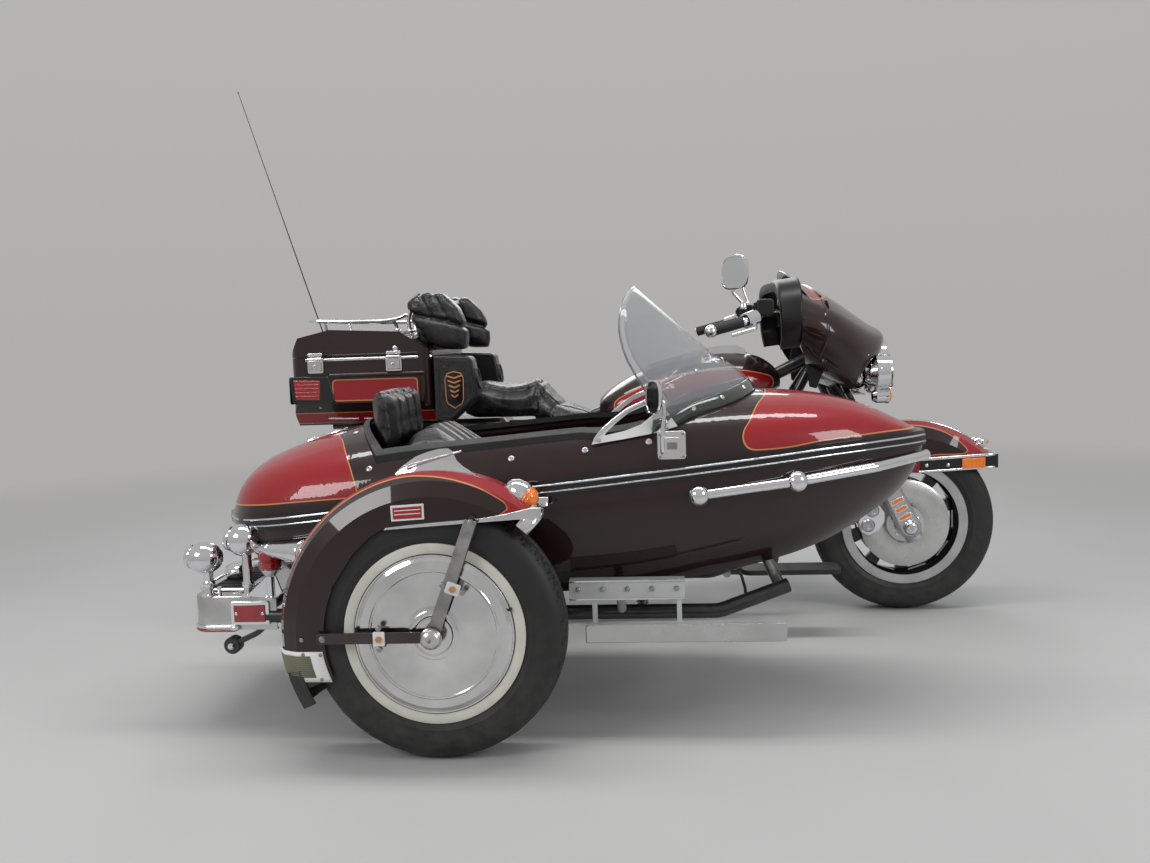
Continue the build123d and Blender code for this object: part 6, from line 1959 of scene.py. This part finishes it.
# Mirrors: oval heads on bent stems, one lower and nearer the rider than the other
for word, head, foot, joint, facing in (
        ("right", (1000, -415, 1180), (1029, -400, 1082), (992, -405, 1124), (-0.78, -0.62, 0.05)),
        ("left", (1072, 400, 1240), (1110, 398, 1100), (1088, 402, 1170), (-0.90, 0.42, 0.05))):
    made = mirror_head(f"mirror_{word}", head, facing, 112, 105, 0.6, 26, "steering")
    if word == "right":
        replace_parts(made, "mirrors")
    back = Vector(head) - Vector(facing).normalized() * 10
    tube(f"mirror_stem_{word}", [foot, joint, (back.x, back.y, back.z - 30)], 5, "steering", chrome, bend=14)
    spun(f"mirror_foot_{word}", [(-16, 9), (-14, 11), (0, 11), (6, 8), (10, 6)], foot, UP, "steering",
         chrome, steps=24)

# Switch housings, grip ends and the console's dome
for side, word in SIDES:
    middle = side * 372
    outline = rounded_outline((1070, 1042), (1126, 1096), 12)
    plate(f"switch_housing_{word}", outline, middle - 22, middle + 22, "steering", plastic_black,
          bevel=6)
    plate(f"switch_panel_{word}", rounded_outline((1062, 1052), (1074, 1086), 3), middle - 14,
          middle + 14, "steering", gloss_black, bevel=2)
    for k in range(3):
        block(f"switch_key_{word}_{k}", (1059, middle - 11 + 8 * k, 1062),
              (1064, middle - 5 + 8 * k, 1078), "steering", plastic_black, bevel=1.5)
    spun(f"bar_end_{word}", [(-10, 15), (-6, 18), (0, 20), (8, 19), (15, 14), (20, 7), (21, 0)],
         (922, side * 482, 1000), (0.2, side, -0.1), "steering", chrome, steps=32)
console_place = (1040, 0, 898)
spun("console_dome", [(-10, 40), (0, 40), (10, 38), (20, 31), (27, 18), (29, 0)], console_place,
     (-0.1, 0, 1), "chassis", chrome, steps=40)
spun("console_dome_ring", [(-6, 42), (-2, 45), (2, 44), (4, 40), (-6, 40)], console_place, (-0.1, 0, 1),
     "chassis", satin_alloy, steps=40)


def bolt(name, place, direction, size, finish):
    """A six-sided bolt head on its washer."""
    outline = [(-1, size * 1.35), (1.2, size * 1.35), (1.2, size), (size * 0.8, size), (size, size * 0.75),
               (size, 0)]
    spun(name, outline, place, direction, "chassis", finish, steps=6)


# Sidecar step: rivets and folded edges on the sill, and the plate bar's face with its eyelets
for k in range(5):
    bolt(f"sill_rivet_{k}", (546 + 61 * k, -1195.3, 371), RIGHT, 5.5, steel)
plate("sill_edge", [(523, 388), (811, 388), (811, 394), (523, 394)], -1197.5, -1194, "chassis", polished,
      bevel=1.5)
plate("sill_lower_edge", [(523, 343), (811, 343), (811, 348), (523, 348)], -1197.5, -1194, "chassis",
      polished, bevel=1.2)
bar_face = -1203
for k, x in enumerate((580, 1036)):
    spun(f"plate_bar_eyelet_{k}", [(-1, 9), (1.2, 9), (1.6, 7.5), (1.2, 6), (0.4, 5.6), (0.4, 0)],
         (x, bar_face, 260), RIGHT, "chassis", frame_black, steps=24)
plate("plate_bar_face", rounded_outline((563, 238), (1056, 282), 7), bar_face - 2.2, bar_face, "chassis",
      honed, bevel=1)

# Floor lever beside the tub's foot, with its pivot
strap("floor_lever", [(936, -1000, 366), (962, -1000, 362), (974, -1000, 316), (972, -1000, 270)], 14, 8,
      "chassis", frame_black, bend=10, bevel=2)
bolt("floor_lever_pivot", (974, -1007, 290), RIGHT, 7, chrome)
